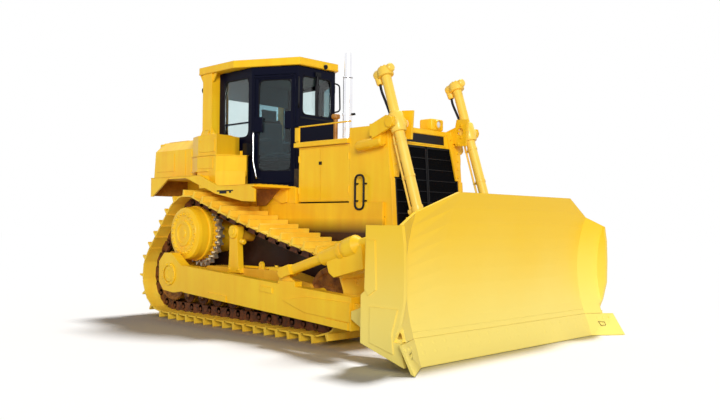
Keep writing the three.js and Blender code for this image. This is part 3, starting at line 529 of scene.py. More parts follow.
for side, body in ((1, "push_arm_left"), (-1, "push_arm_right")):
    bm = bmesh.new()
    for x0, x1, low, high in ((-0.75, -0.36, -0.172, -0.100), (1.40, 1.75, -0.172, -0.095),
            (0.30, 0.52, 0.05, 0.11)):
        outline = [arm_point(side, x0, low), arm_point(side, x1, low), arm_point(side, x1, high),
                   arm_point(side, x0, high)]
        add_plate(bm, outline, (0, side * 0.012, 0))
    # A doubler plate covers the front third of the beam, with its rear edge cut to a blunt point.
    outline = [arm_point(side, 0.70, 0.0), arm_point(side, 1.08, 0.085), arm_point(side, 1.78, 0.115),
               arm_point(side, 1.78, -0.085), arm_point(side, 1.08, -0.085)]
    add_plate(bm, outline, (0, side * 0.010, 0))
    rear = (-1.644, side * 1.5285, 0.640)
    add_turned(bm, rear, (0, side, 0), [(0, 0.150), (0.010, 0.150), (0.014, 0.146), (0.014, 0.112)], 40)
    add_bolt_circle(bm, (rear[0], side * 1.540, rear[2]), side, 0.131, 8, [(0, 0.013), (0.012, 0.013),
        (0.012, 0)])
    make_piece(f"{body}_pads", bm, body, "yellow_paint", yellow)
    bm = bmesh.new()
    add_turned(bm, (-1.644, side * 1.5288, 0.640), (0, side, 0), [(0, 0.104), (0.008, 0.100),
        (0.008, 0.050), (0.004, 0.046), (0.004, 0)], 40)
    make_piece(f"trunnion_cover_{body[9:]}", bm, "trunnion_caps", "yellow_paint", yellow)


# ---- Blade ----
# The mouldboard is rolled from one plate, between thick end plates, and is painted paler low down as a
# painted reflection.
# Cutting edges and end bits of hard steel are held on from behind by countersunk plough bolts.
blade_enamel_painted_reflection, tree, place = new_material("blade enamel with painted reflection low down")
height = add_node(tree, "SeparateXYZ", {0: place}).outputs["Z"]
cloud = add_node(tree, "TexNoise", {"Vector": place, "Scale": 0.9, "Detail": 4, "Roughness": 0.55})
# The face is painted paler towards the bottom, in cloudy patches: a painted reflection.
shift = add_node(tree, "Math", {0: cloud, 1: 0.5, 2: height}, operation="MULTIPLY_ADD")
painted_reflection_mask = add_node(tree, "MapRange", {"Value": shift, "From Min": 1.75, "From Max": 0.35},
                 interpolation_type="SMOOTHSTEP")
tint = add_node(tree, "Mix", {"Factor": painted_reflection_mask, 6: linear("ffd02a"), 7: linear("ffe878")}, data_type="RGBA")
# Fine scratches run up the face, 2 to 3 mm apart, drawn at 10 mm.
stretch = add_node(tree, "Mapping", {"Vector": place, "Scale": (20, 100, 3)})
scratch = add_node(tree, "TexNoise", {"Vector": stretch, "Scale": 1, "Detail": 3})
gloss = add_node(tree, "MapRange", {"Value": scratch, "To Min": 0.26, "To Max": 0.46})
rounded = add_node(tree, "Bevel", {"Radius": 0.008}, samples=4)
bump = add_node(tree, "Bump", {"Strength": 0.03, "Distance": 0.003, "Height": scratch, "Normal": rounded})
shader = add_node(tree, "BsdfPrincipled", {"Base Color": tint.outputs[2], "Roughness": gloss,
    "Normal": bump, "IOR": 1.5, "Specular IOR Level": 0.3, "Coat Weight": 0.1, "Coat Roughness": 0.2})
add_node(tree, "OutputMaterial", {"Surface": shader})
dress(blade_enamel_painted_reflection, "blade", "cutting_edge", "end_bit_left", "end_bit_right")

bm = bmesh.new()
edge_low, edge_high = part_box("cutting_edge")
edge_run = Vector((0.088, 0, -0.258)).normalized()
edge_out = Vector((0.258, 0, 0.088)).normalized()
for bolt in range(18):
    y = edge_low.y + (bolt + 0.5) * (edge_high.y - edge_low.y) / 18
    for down in (0.055, 0.140):
        start = Vector((2.708, y, 0.262)) + edge_run * down - edge_out * 0.001
        add_turned(bm, start, edge_out, [(0, 0.020), (0.003, 0.018), (0.003, 0)], 14)
make_piece("plough_bolts", bm, "blade", "yellow_paint", blade_enamel_painted_reflection)
end_plate_face = 1.9035
bm = bmesh.new()
for side in (1, -1):
    # Doubler plates and weld beads on the outside of each end plate.
    outline = [(2.42, 0.225), (2.72, 0.150), (2.700, 0.330), (2.768, 0.560), (2.420, 0.560)]
    add_plate(bm, [(x, side * end_plate_face, z) for x, z in outline], (0, side * 0.009, 0))
    outline = [(2.365, 1.18), (2.480, 1.18), (2.500, 0.72), (2.400, 0.66), (2.352, 0.72)]
    add_plate(bm, [(x, side * end_plate_face, z) for x, z in outline], (0, side * 0.009, 0))
    for bolt in range(4):
        add_turned(bm, (2.745 + 0.0420 * bolt, side * (1.665 + 0.083 * bolt), 0.205), edge_out,
                   [(-0.004, 0.022), (0.006, 0.020), (0.006, 0)], 14)
make_piece("end_plate_doublers", bm, "blade", "yellow_paint", blade_enamel_painted_reflection)


# ---- Lift cylinders ----
# Each barrel is swung in a yoke on the radiator guard. A cast head with a port boss closes its top,
# steel lines are clipped along its back, and the rod is ground and chromed.
hard_chrome, tree, place = new_material("ground hard chrome")
stretch = add_node(tree, "Mapping", {"Vector": place, "Scale": (40, 40, 260)})
grind = add_node(tree, "TexNoise", {"Vector": stretch, "Scale": 1, "Detail": 3})
gloss = add_node(tree, "MapRange", {"Value": grind, "To Min": 0.08, "To Max": 0.20})
tint = add_node(tree, "Mix", {"Factor": grind, 6: linear("d6d8dc"), 7: linear("f2f3f5")}, data_type="RGBA")
shader = add_node(tree, "BsdfPrincipled", {"Base Color": tint.outputs[2], "Roughness": gloss,
    "Metallic": 1.0})
add_node(tree, "OutputMaterial", {"Surface": shader})
dress(hard_chrome, "lift_cylinder_rod_left", "lift_cylinder_rod_right")
cylinder_enamel = enamel("cylinder enamel", "ffda62", "fbcf4c", "b98a4c", 0.5, 0.04, 0.1, 0.28)
dress(cylinder_enamel, "lift_cylinder_barrel_left", "lift_cylinder_barrel_right")


def black_rubber(name, colour, roughness):
    """Moulded rubber or satin black plastic, with a skin of 2 mm pores drawn at 8 mm."""
    made, tree, place = new_material(name)
    pore = add_node(tree, "TexNoise", {"Vector": place, "Scale": 120, "Detail": 3})
    bump = add_node(tree, "Bump", {"Strength": 0.15, "Distance": 0.001, "Height": pore})
    pale = add_node(tree, "Mix", {"Factor": pore, 6: linear(colour), 7: linear("15161b")}, data_type="RGBA")
    shader = add_node(tree, "BsdfPrincipled", {"Base Color": pale.outputs[2], "Roughness": roughness,
        "Normal": bump, "Specular IOR Level": 0.2})
    add_node(tree, "OutputMaterial", {"Surface": shader})
    return made


def rounded_path(corners, bend, closed=False):
    """Rounds the corners of a path."""
    corners = [Vector(corner) for corner in corners]
    turns = list(zip(corners, corners[1:], corners[2:]))
    if closed:
        turns = list(zip([corners[-1]] + corners[:-1], corners, corners[1:] + corners[:1]))
    path = [] if closed else [corners[0]]
    for before, corner, after in turns:
        reach = min(bend, (before - corner).length / 2.05, (after - corner).length / 2.05)
        start = corner + (before - corner).normalized() * reach
        end = corner + (after - corner).normalized() * reach
        path += [start.lerp(corner, t / 6).lerp(corner.lerp(end, t / 6), t / 6) for t in range(7)]
    return path if closed else path + [corners[-1]]


def make_tubes(name, paths, radius, body, finish, closed=False):
    """Makes one piece of round tubes along paths."""
    curve = bpy.data.curves.new(name, "CURVE")
    curve.dimensions = "3D"
    curve.bevel_depth = radius
    curve.bevel_resolution = 3
    curve.use_fill_caps = not closed
    for path in paths:
        spline = curve.splines.new("POLY")
        spline.points.add(len(path) - 1)
        spline.points.foreach_set("co", [c for point in path for c in (*point, 1)])
        spline.use_cyclic_u = closed
        spline.use_smooth = True
    curve.materials.append(finish)
    piece = bpy.data.objects.new(name, curve)
    scene.collection.objects.link(piece)
    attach(piece, body)
    return piece


hose_black = black_rubber("black hose rubber", "0b0d14", 0.45)
lift_run = Vector((0.305443, 0, -0.952210))
lift_back = Vector((-0.952210, 0, -0.305443))


def beside_barrel(pivot, down, back):
    """A point down along a lift barrel from its pivot, and out behind it."""
    return pivot + lift_run * down + lift_back * back


for side, hand in ((1, "left"), (-1, "right")):
    pivot = Vector((1.621, side * 0.658, 2.470))
    body = f"lift_barrel_{hand}"
    bm = bmesh.new()
    add_turned(bm, beside_barrel(pivot, -0.682, 0), lift_run, [(0, 0), (0, 0.066), (0.010, 0.080),
        (0.060, 0.092), (0.104, 0.092), (0.112, 0.084), (0.112, 0.058)], 36)
    add_turned(bm, beside_barrel(pivot, -0.632, 0), lift_back, [(0, 0.060), (0.120, 0.060), (0.146, 0.050),
        (0.152, 0.036), (0.152, 0)], 24)
    add_turned(bm, beside_barrel(pivot, -0.640, 0), -lift_back, [(0, 0.052), (0.104, 0.052), (0.118, 0.040),
        (0.118, 0)], 24)
    add_turned(bm, beside_barrel(pivot, -0.632, 0.112), lift_run, [(0, 0.050), (0.105, 0.042),
        (0.120, 0.034), (0.120, 0)], 20)
    for bolt in range(8):
        turn = 2 * math.pi * bolt / 8
        out = lift_back * math.cos(turn) + Vector((0, math.sin(turn), 0))
        add_disc(bm, pivot + lift_run * -0.680 + out * 0.052, -lift_run, 0.010, 0.010)
    # The yoke ring and its two trunnion bosses, and the packing gland at the foot.
    add_turned(bm, beside_barrel(pivot, -0.112, 0), lift_run, [(0, 0.058), (0, 0.080), (0.014, 0.088),
        (0.210, 0.088), (0.224, 0.080), (0.224, 0.058)], 36, ring=True)
    for across in (1, -1):
        add_turned(bm, pivot, (0, across, 0), [(0.070, 0.066), (0.094, 0.066), (0.094, 0.046),
            (0.070, 0.046)], 28, ring=True)
    add_turned(bm, beside_barrel(pivot, 0.985, 0), lift_run, [(0, 0.057), (0, 0.066), (0.058, 0.066),
        (0.074, 0.058), (0.074, 0.041), (0.05, 0.041)], 36)
    add_turned(bm, beside_barrel(pivot, 1.020, 0.055), lift_back, [(0, 0.034), (0.062, 0.034),
        (0.070, 0.026), (0.070, 0)], 18)
    for down in (0.20, 0.62):
        add_turned(bm, beside_barrel(pivot, down, 0), lift_run, [(0, 0.057), (0, 0.062), (0.030, 0.062),
            (0.030, 0.057)], 32, ring=True)
        add_block(bm, beside_barrel(pivot, down + 0.015, 0.085) - Vector((0.022, 0.016, 0.014)),
                  beside_barrel(pivot, down + 0.015, 0.085) + Vector((0.034, 0.016, 0.014)))
    make_piece(f"cylinder_castings_{hand}", bm, body, "yellow_paint", cylinder_enamel)
    line = [beside_barrel(pivot, 0.105, 0.075), beside_barrel(pivot, 0.135, 0.098),
            beside_barrel(pivot, 0.60, 0.100), beside_barrel(pivot, 1.020, 0.100)]
    make_tubes(f"cylinder_line_{hand}", [rounded_path(line, 0.03)], 0.013, body,
               cylinder_enamel)
    line = [beside_barrel(pivot, -0.530, 0.112), beside_barrel(pivot, -0.44, 0.118),
            beside_barrel(pivot, -0.25, 0.085), beside_barrel(pivot, -0.13, 0.070)]
    make_tubes(f"cylinder_port_line_{hand}", [rounded_path(line, 0.10)], 0.016, body,
               hose_black)
    bm = bmesh.new()
    add_turned(bm, (1.621, side * 0.7905, 2.470), (0, side, 0), [(0, 0.062), (0.012, 0.062), (0.018, 0.054),
        (0.018, 0)], 28)
    add_turned(bm, (1.05, side * 0.722, 2.232), (1, 0, 0.10), [(0, 0), (0.004, 0.030), (0.022, 0.054),
        (0.060, 0.060), (0.40, 0.060), (0.42, 0.045), (0.42, 0)], 24)
    add_plate(bm, [(1.30, side * 0.664, 2.20), (1.46, side * 0.664, 2.24), (1.46, side * 0.664, 2.40),
                   (1.33, side * 0.664, 2.40)], (0, side * 0.100, 0))
    for bolt in range(4):
        z = 2.345 + 0.075 * bolt
        add_disc(bm, (1.60 + 0.04 * (bolt % 2), side * 0.4945, z - 0.02), (0, -side, 0), 0.016, 0.012)
    make_piece(f"yoke_bracket_{hand}", bm, "chassis", "yellow_paint", yellow)


# ---- Radiator guard and grille ----
# The guard is a welded box with two perforated grille doors, painted black, between yellow edges. A
# dark bar is let into its head, a lamp stands on top, and gusset plates stiffen its front corners.
grille_black, tree, place = new_material("perforated black grille")
# Holes of 10 mm in rows, drawn at 25 mm so that they show; the holes are painted darker than the plate as
# painted shade.
holes = add_node(tree, "TexVoronoi", {"Vector": place, "Scale": 40, "Randomness": 0.0})
wall = add_node(tree, "MapRange", {"Value": holes, "From Min": 0.30, "From Max": 0.42})
tint = add_node(tree, "Mix", {"Factor": wall, 6: linear("010102"), 7: linear("05060a")}, data_type="RGBA")
bump = add_node(tree, "Bump", {"Strength": 0.6, "Distance": 0.004, "Height": wall})
shader = add_node(tree, "BsdfPrincipled", {"Base Color": tint.outputs[2], "Roughness": 0.85, "Normal": bump,
    "Specular IOR Level": 0.05})
add_node(tree, "OutputMaterial", {"Surface": shader})
dress(grille_black, "grille_door_left", "grille_door_right")


def on_guard(y, z, ahead=0.0):
    """A point on the guard's leaning face."""
    return Vector((1.476 + (2.470 - z) * 0.075 + ahead, y, z))


# The guard's sides and the engine doors stand this far out from the middle.
side_face = 0.6595
satin_black = black_rubber("satin black enamel", "020308", 0.45)
bm = bmesh.new()
add_plate(bm, [on_guard(-0.345, 2.300, -0.01), on_guard(0.345, 2.300, -0.01), on_guard(0.345, 2.405, -0.01),
               on_guard(-0.345, 2.405, -0.01)], (0.013, 0, 0))
for side in (1, -1):
    for low, high in (((0.006, 1.184), (0.022, 2.256)), ((0.560, 1.184), (0.580, 2.256)),
                      ((0.006, 1.184), (0.580, 1.206)), ((0.006, 2.236), (0.580, 2.256))):
        corners = [(low[0], low[1]), (high[0], low[1]), (high[0], high[1]), (low[0], high[1])]
        add_plate(bm, [on_guard(side * y, z, -0.006) for y, z in corners], (0.012, 0, 0))
    for rib in range(1, 8):
        z = 1.195 + rib * 0.132
        corners = [(0.020, z - 0.004), (0.562, z - 0.004), (0.562, z + 0.004), (0.020, z + 0.004)]
        add_plate(bm, [on_guard(side * y, pz, -0.006) for y, pz in corners], (0.006, 0, 0))
make_piece("grille_frames", bm, "chassis", "black_paint", satin_black)
bm = bmesh.new()
for side in (1, -1):
    outline = [on_guard(side * 0.400, 2.430), on_guard(side * 0.640, 2.430), on_guard(side * 0.640, 2.120),
               on_guard(side * 0.600, 1.870), on_guard(side * 0.530, 1.870), on_guard(side * 0.470, 2.150)]
    add_plate(bm, outline, (0.022, 0, 0))
    for y, z in ((0.565, 1.92), (0.568, 2.02), (0.575, 2.12), (0.585, 2.22), (0.52, 2.30), (0.60, 2.38),
                 (0.45, 2.38)):
        add_disc(bm, on_guard(side * y, z, 0.021), (1, 0, 0.07), 0.017, 0.012)
    outline = [on_guard(side * 0.590, 1.19), on_guard(side * 0.662, 1.19), on_guard(side * 0.662, 1.86),
               on_guard(side * 0.590, 1.86)]
    add_plate(bm, outline, (0.014, 0, 0))
for y, z0, z1 in ((0, 2.410, 2.425), (0, 2.282, 2.296)):
    add_plate(bm, [on_guard(-0.365, z0), on_guard(0.365, z0), on_guard(0.365, z1), on_guard(-0.365, z1)],
              (0.010, 0, 0))
make_piece("guard_gussets", bm, "chassis", "yellow_paint", yellow)
# A black strip low down in each side of the guard is painted shade for a slot.
bm = bmesh.new()
for side in (1, -1):
    add_block(bm, (1.25, side * side_face, 1.405), (1.45, side * (side_face + 0.003), 1.420))
make_piece("guard_side_slot_shade", bm, "chassis", "black_paint", satin_black)

lamp_glass, tree, place = new_material("fluted lamp glass")
flute = add_node(tree, "TexWave", {"Vector": place, "Scale": 14, "Distortion": 0.0}, bands_direction="Y")
bump = add_node(tree, "Bump", {"Strength": 0.4, "Distance": 0.002, "Height": flute.outputs["Fac"]})
tint = add_node(tree, "Mix", {"Factor": flute.outputs["Fac"], 6: linear("c9cdd2"), 7: linear("f1f3f4")},
                data_type="RGBA")
shader = add_node(tree, "BsdfPrincipled", {"Base Color": tint.outputs[2], "Roughness": 0.12, "Normal": bump,
    "Coat Weight": 0.6})
add_node(tree, "OutputMaterial", {"Surface": shader})
bm = bmesh.new()
shell = add_block(bm, (1.290, 0.110, 2.471), (1.490, 0.340, 2.612))
round_edges(bm, shell, 0.022)
add_turned(bm, (1.486, 0.225, 2.545), (1, 0, 0), [(0, 0.052), (0.018, 0.056), (0.026, 0.052),
    (0.026, 0.044), (0, 0.044)], 28, ring=True)
make_piece("lamp_housing", bm, "chassis", "yellow_paint", yellow)
bm = bmesh.new()
add_turned(bm, (1.488, 0.225, 2.545), (1, 0, 0), [(0, 0.044), (0.012, 0.038), (0.020, 0.020), (0.022, 0)],
           28)
make_piece("lamp_glass", bm, "chassis", "glass", lamp_glass)


# ---- Hood, engine doors and handrails ----
# The hood slab overhangs the engine doors. Each door hangs on two barrel hinges and shuts with a flush
# latch. Round steel handrails are bent from thin tube and dipped in black.
loops = []
for side in (1, -1):
    oval = [(1.155, 1.90), (1.155, 1.50), (1.015, 1.50), (1.015, 1.90)]
    loops.append(rounded_path([(x, side * 0.708, z) for x, z in oval], 0.069, closed=True))
make_tubes("side_handles", loops, 0.013, "chassis", satin_black, closed=True)
bm = bmesh.new()
for side in (1, -1):
    for z in (1.60, 1.80):
        add_rod(bm, (1.155, side * 0.659, z), (1.155, side * 0.708, z), 0.010, 12)
        add_rod(bm, (1.015, side * 0.659, z), (1.015, side * 0.708, z), 0.010, 12)
make_piece("side_handle_feet", bm, "chassis", "black_paint", satin_black)
bm = bmesh.new()
for side in (1, -1):
    add_block(bm, (-0.125, side * 0.640, 2.364), (-0.050, side * 0.664, 2.560))
    add_block(bm, (-0.125, side * 0.640, 2.545), (0.872, side * 0.664, 2.560))
    add_block(bm, (-0.100, side * 0.640, 2.300), (-0.050, side * 0.664, 2.370))
    add_block(bm, (-0.120, side * 0.654, 2.300), (0.864, side * 0.672, 2.322))
make_piece("hood_rails", bm, "chassis", "yellow_paint", yellow)
for side, hand in ((1, "left"), (-1, "right")):
    for door, x0, x1 in (("rear", -0.042, 0.358), ("front", 0.362, 0.864)):
        bm = bmesh.new()
        hinge_x = x0 + 0.006 if door == "rear" else x1 - 0.006
        free_x = x1 - 0.012 if door == "rear" else x0 + 0.012
        for z in (1.74, 2.14):
            add_turned(bm, (hinge_x, side * 0.664, z - 0.04), (0, 0, 1), [(0, 0), (0, 0.010), (0.08, 0.010),
                (0.08, 0)], 12)
        # A folded rim stiffens the panel.
        for z in (1.612, 2.262):
            add_block(bm, (x0 + 0.012, side * side_face, z), (x1 - 0.012, side * (side_face + 0.003),
                z + 0.010))
        make_piece(f"engine_door_trim_{door}_{hand}", bm, f"engine_door_{door}_{hand}", "yellow_paint",
                   yellow)
        bm = bmesh.new()
        add_block(bm, (free_x - 0.009, side * side_face, 2.055), (free_x + 0.009, side * 0.668, 2.095))
        add_disc(bm, (free_x, side * 0.667, 2.080), (0, side, 0), 0.007, 0.006, 10)
        make_piece(f"engine_door_latch_{door}_{hand}", bm, f"engine_door_{door}_{hand}", "black_paint",
                   satin_black)


# ---- Exhaust stack and pre-cleaner ----
# The silencer tube is chrome-plated steel with a narrower tail, clamped to the hood. Beside it stands
# the air intake, a yellow steel pipe with a spun bowl on top, coloured brown as painted shade.
# Heat haze lies in clouds about 0.2 m across.
stack_chrome = bare_metal("bright chrome-plated stack", 6, "e6e6ee", "ffffff", 0.16, 0.30, 1.0)
dress(stack_chrome, "exhaust_stack")
stack = (0.461, -0.300)
bm = bmesh.new()
add_turned(bm, (*stack, 2.690), (0, 0, 1), [(0, 0.060), (0, 0.066), (0.030, 0.066), (0.030, 0.060)], 36,
           ring=True)
add_turned(bm, (*stack, 3.166), (0, 0, 1), [(0, 0.060), (0, 0.064), (0.012, 0.064), (0.020, 0.046),
    (0.020, 0.044)], 36)
make_piece("stack_bands", bm, "chassis", "bright_steel", stack_chrome)
bm = bmesh.new()
add_block(bm, (0.515, -0.285, 2.692), (0.560, -0.262, 2.718))
add_rod(bm, (0.54, -0.30, 2.705), (0.54, -0.245, 2.705), 0.009, 8)
add_turned(bm, (*stack, 3.4755), (0, 0, 1), [(0, 0.043), (0.002, 0.038), (0.002, 0)], 32)
make_piece("stack_clamp_and_mouth", bm, "chassis", "black_paint", satin_black)
# The machine's yellow as it looks in deep shade, drawn in brown: painted shade.
painted_shade_brown = oily_steel_and_painted_shade("steel in painted shade brown", "8a5a1e", "b07a2a", 0.5)
bm = bmesh.new()
add_turned(bm, (0.245, -0.300, 2.364), (0, 0, 1), [(0, 0.044), (0.012, 0.044), (0.012, 0.028),
    (0.300, 0.028), (0.306, 0.048), (0.314, 0.056), (0.350, 0.056), (0.362, 0.046), (0.368, 0)], 32)
make_piece("air_intake", bm, "chassis", "yellow_paint", painted_shade_brown)


# ---- Cab ----
# The cab is a frame of pressed steel, sprayed a blue-black enamel, with flat tinted safety glass held
# in rubber beads. The inside is trimmed in grey foam, with a rubber mat over the floor.
cab_enamel, tree, place = new_material("blue-black cab enamel")
cloud = add_node(tree, "TexNoise", {"Vector": place, "Scale": 2.2, "Detail": 5})
tint = add_node(tree, "Mix", {"Factor": cloud, 6: linear("000215"), 7: linear("02051e")}, data_type="RGBA")
skin = add_node(tree, "TexNoise", {"Vector": place, "Scale": 80, "Detail": 2})
rounded = add_node(tree, "Bevel", {"Radius": 0.008}, samples=4)
bump = add_node(tree, "Bump", {"Strength": 0.05, "Distance": 0.003, "Height": skin, "Normal": rounded})
shader = add_node(tree, "BsdfPrincipled", {"Base Color": tint.outputs[2], "Roughness": 0.42, "Normal": bump,
    "Specular IOR Level": 0.1})
add_node(tree, "OutputMaterial", {"Surface": shader})
dress(cab_enamel, "cab_frame", "cab_door_left", "cab_door_right", "control_console")


def tinted_glass(name, light, dark):
    """Flat safety glass, in two close tints, with a faint film of dust."""
    made, tree, place = new_material(name)
    film = add_node(tree, "TexNoise", {"Vector": place, "Scale": 3, "Detail": 4})
    tint = add_node(tree, "Mix", {"Factor": film, 6: linear(dark), 7: linear(light)}, data_type="RGBA")
    shader = add_node(tree, "BsdfPrincipled", {"Base Color": tint.outputs[2], "Roughness": 0.03,
        "Transmission Weight": 1.0, "IOR": 1.45})
    add_node(tree, "OutputMaterial", {"Surface": shader})
    return made


# The door glass has a real tint, made darker as painted shade of the cab's inside; the quarter and rear panes
# are nearly clear.
clear_glass = tinted_glass("pale green safety glass", "eef6f6", "e0eeee")
dress(clear_glass, "side_glass_left", "side_glass_right", "rear_glass", "windscreen")
door_glass = tinted_glass("door glass darkened as painted shade", "8cb0b8", "7c9fa9")
dress(door_glass, "door_glass_left", "door_glass_right")


def add_pane_corners(bm, foot, along, up, width, height, bend, out):
    """Fills a window's square corners with metal, to round them by bend."""
    foot, along, up, out = Vector(foot), Vector(along), Vector(up), Vector(out)
    for u, v in ((0, 0), (1, 0), (1, 1), (0, 1)):
        corner = foot + along * width * u + up * height * v
        inwards, upwards = along * (1 - 2 * u), up * (1 - 2 * v)
        centre = corner + (inwards + upwards) * bend
        turns = [step * math.pi / 12 for step in range(7)]
        arc = [centre - inwards * bend * math.sin(turn) - upwards * bend * math.cos(turn) for turn in turns]
        for before, after in zip(arc, arc[1:]):
            add_plate(bm, [corner, before, after], out)


def bead_path(foot, along, up, width, height, bend, inset=0.004):
    """The middle line of the rubber bead round a window."""
    foot, along, up = Vector(foot), Vector(along), Vector(up)
    corners = [foot + along * u + up * v for u, v in ((inset, inset), (width - inset, inset),
        (width - inset, height - inset), (inset, height - inset))]
    return rounded_path(corners, bend + 0.02, closed=True)


bm = bmesh.new()
beads = []
for side in (1, -1):
    window = ((-1.674, side * 0.648, 2.500), (1, 0, 0), (0, 0, 1), 0.570, 0.820, 0.085)
    add_pane_corners(bm, *window, (0, -side * 0.006, 0))
    beads.append(bead_path(*window))
for x, half, low, high in ((-0.450, 0.265, 2.790, 3.320), (-1.778, 0.530, 2.560, 3.320)):
    window = ((x, -half, low), (0, 1, 0), (0, 0, 1), 2 * half, high - low, 0.060)
    add_pane_corners(bm, *window, (-0.006 if x > -1 else 0.006, 0, 0))
    beads.append(bead_path(*window))
# A rail crosses each quarter window a third of the way up.
for side in (1, -1):
    add_block(bm, (-1.690, side * 0.650, 2.690), (-1.090, side * 0.662, 2.712))
make_piece("window_corners", bm, "chassis", "cab_paint", cab_enamel)
window_rubber = black_rubber("black window rubber", "020308", 0.6)
make_tubes("window_beads", beads, 0.009, "chassis", window_rubber, closed=True)
door_glass_foot = 2.030


def on_door(door, forward, z, outwards):
    """A point on a door, forward along it from its glass's rear edge, and out from its face."""
    back, along, out = door
    return back + along * forward + out * outwards + Vector((0, 0, z - door_glass_foot))


for side, hand in ((1, "left"), (-1, "right")):
    low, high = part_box(f"door_glass_{hand}")
    back = Vector((low.x, side * max(abs(low.y), abs(high.y)), door_glass_foot))
    front = Vector((high.x, side * min(abs(low.y), abs(high.y)), door_glass_foot))
    along = (front - back).normalized()
    out = Vector((-along.y, along.x, 0)) * side
    door = (back, along, out)
    body = f"cab_door_{hand}"
    width = (front - back).length
    window = (back + out * 0.006, along, Vector((0, 0, 1)), width, 1.240, 0.075)
    bm = bmesh.new()
    add_pane_corners(bm, *window, out * -0.004)
    # The latch box at the rear edge, the pull handle's bracket at the front, and the folded door rim.
    for f0, f1, z0, z1, o0, o1 in ((-0.055, 0.070, 2.560, 2.760, 0.004, 0.050),
            (width - 0.085, width + 0.008, 2.600, 2.830, 0.004, 0.040), (-0.060, width + 0.022, 1.870,
            1.895, 0.020, 0.032), (-0.060, width + 0.022, 3.296, 3.318, 0.020, 0.032), (-0.068, -0.050,
            1.880, 3.310, 0.020, 0.032), (width + 0.006, width + 0.024, 1.880, 3.310, 0.020, 0.032)):
        outline = [on_door(door, f0, z0, o0), on_door(door, f1, z0, o0), on_door(door, f1, z1, o0),
                   on_door(door, f0, z1, o0)]
        add_plate(bm, outline, out * (o1 - o0))
    # The hinge knuckles turn on the joint's own axis.
    joints = frame["record"]["behaviour"]["joints"]
    axis = next(joint["pos_m"] for joint in joints if joint["name"] == f"cab_door_{hand}_hinge")
    for z in (2.02, 3.16):
        add_turned(bm, (axis[0], axis[1], z), (0, 0, 1), [(0, 0), (0, 0.014), (0.10, 0.014), (0.10, 0)], 14)
    make_piece(f"door_metal_{hand}", bm, body, "cab_paint", cab_enamel)
    make_tubes(f"door_bead_{hand}", [bead_path(*window)], 0.009, body, window_rubber,
               closed=True)
    rail = [on_door(door, -0.040, 2.545, 0.045), on_door(door, -0.040, 2.545, 0.085),
            on_door(door, -0.035, 2.15, 0.092), on_door(door, 0.015, 1.93, 0.085),
            on_door(door, 0.015, 1.93, 0.030)]
    make_tubes(f"door_grab_rail_{hand}", [rounded_path(rail, 0.05)], 0.0115, body,
               hard_chrome)

bm = bmesh.new()
# Wiper and its motor over the windscreen, and a lamp under the front of the roof.
add_block(bm, (-0.452, -0.050, 3.335), (-0.420, 0.050, 3.390))
add_rod(bm, (-0.430, -0.004, 3.350), (-0.425, -0.030, 3.020), 0.010, 10)
add_block(bm, (-0.436, -0.046, 2.900), (-0.424, -0.022, 3.220))
add_block(bm, (-0.452, -0.030, 2.795), (-0.444, 0.030, 3.320))
add_turned(bm, (-0.430, 0.000, 3.352), (1, 0, 0), [(0, 0.020), (0.014, 0.018), (0.014, 0)], 16)
add_block(bm, (-0.452, -0.300, 2.740), (-0.438, 0.300, 2.762))
# Lamps on the canopy posts at the rear, each on a short stalk.
for side in (1, -1):
    add_turned(bm, (-2.030, side * 0.700, 3.235), (-1, 0, -0.15), [(0, 0), (0, 0.030), (0.030, 0.056),
        (0.052, 0.060), (0.058, 0.054), (0.058, 0)], 24)
    add_block(bm, (-2.045, side * 0.700 - 0.016, 3.130), (-2.020, side * 0.700 + 0.016, 3.230))
make_piece("wiper_and_lamps", bm, "chassis", "black_paint", satin_black)
bm = bmesh.new()
add_turned(bm, (-0.470, 0.105, 3.505), (1, 0, -0.35), [(0.060, 0), (0.060, 0.024), (0.086, 0.034),
    (0.094, 0.030), (0.094, 0)], 20)
make_piece("roof_front_lamp", bm, "chassis", "black_paint", satin_black)
hoops = []
for side in (1, -1):
    hoops.append(rounded_path([(-0.452, side * 0.325, 3.290), (-0.392, side * 0.372, 3.262),
        (-0.386, side * 0.380, 2.90), (-0.452, side * 0.325, 2.88)], 0.05))
make_tubes("front_grab_handles", hoops, 0.011, "chassis", satin_black)

cab_foam, tree, place = new_material("grey moulded trim foam")
grain = add_node(tree, "TexVoronoi", {"Vector": place, "Scale": 90})
bump = add_node(tree, "Bump", {"Strength": 0.3, "Distance": 0.002, "Height": grain})
tint = add_node(tree, "Mix", {"Factor": grain, 6: linear("2c4e57"), 7: linear("4a6c75")}, data_type="RGBA")
shader = add_node(tree, "BsdfPrincipled", {"Base Color": tint.outputs[2], "Roughness": 0.85,
    "Normal": bump})
add_node(tree, "OutputMaterial", {"Surface": shader})
bm = bmesh.new()
ceiling = [(-1.735, -0.600), (-1.060, -0.600), (-0.500, -0.305), (-0.500, 0.305), (-1.060, 0.600),
           (-1.735, 0.600)]
add_plate(bm, [(x, y, 3.365) for x, y in ceiling], (0, 0, 0.024))
for side in (1, -1):
    add_block(bm, (-1.700, side * 0.592, 1.880), (-1.090, side * 0.606, 2.470))
add_block(bm, (-1.735, -0.590, 1.880), (-1.722, 0.590, 2.530))
add_block(bm, (-1.735, -0.560, 3.085), (-1.722, 0.560, 3.365))
make_piece("cab_lining", bm, "chassis", "cab_paint", cab_foam)
bm = bmesh.new()
floor_plan = [(-1.720, -0.585), (-1.060, -0.585), (-0.500, -0.300), (-0.500, 0.300), (-1.060, 0.585),
              (-1.720, 0.585)]
add_plate(bm, [(x, y, 1.8505) for x, y in floor_plan], (0, 0, 0.006))
make_piece("floor_mat", bm, "chassis", "cab_paint", window_rubber)

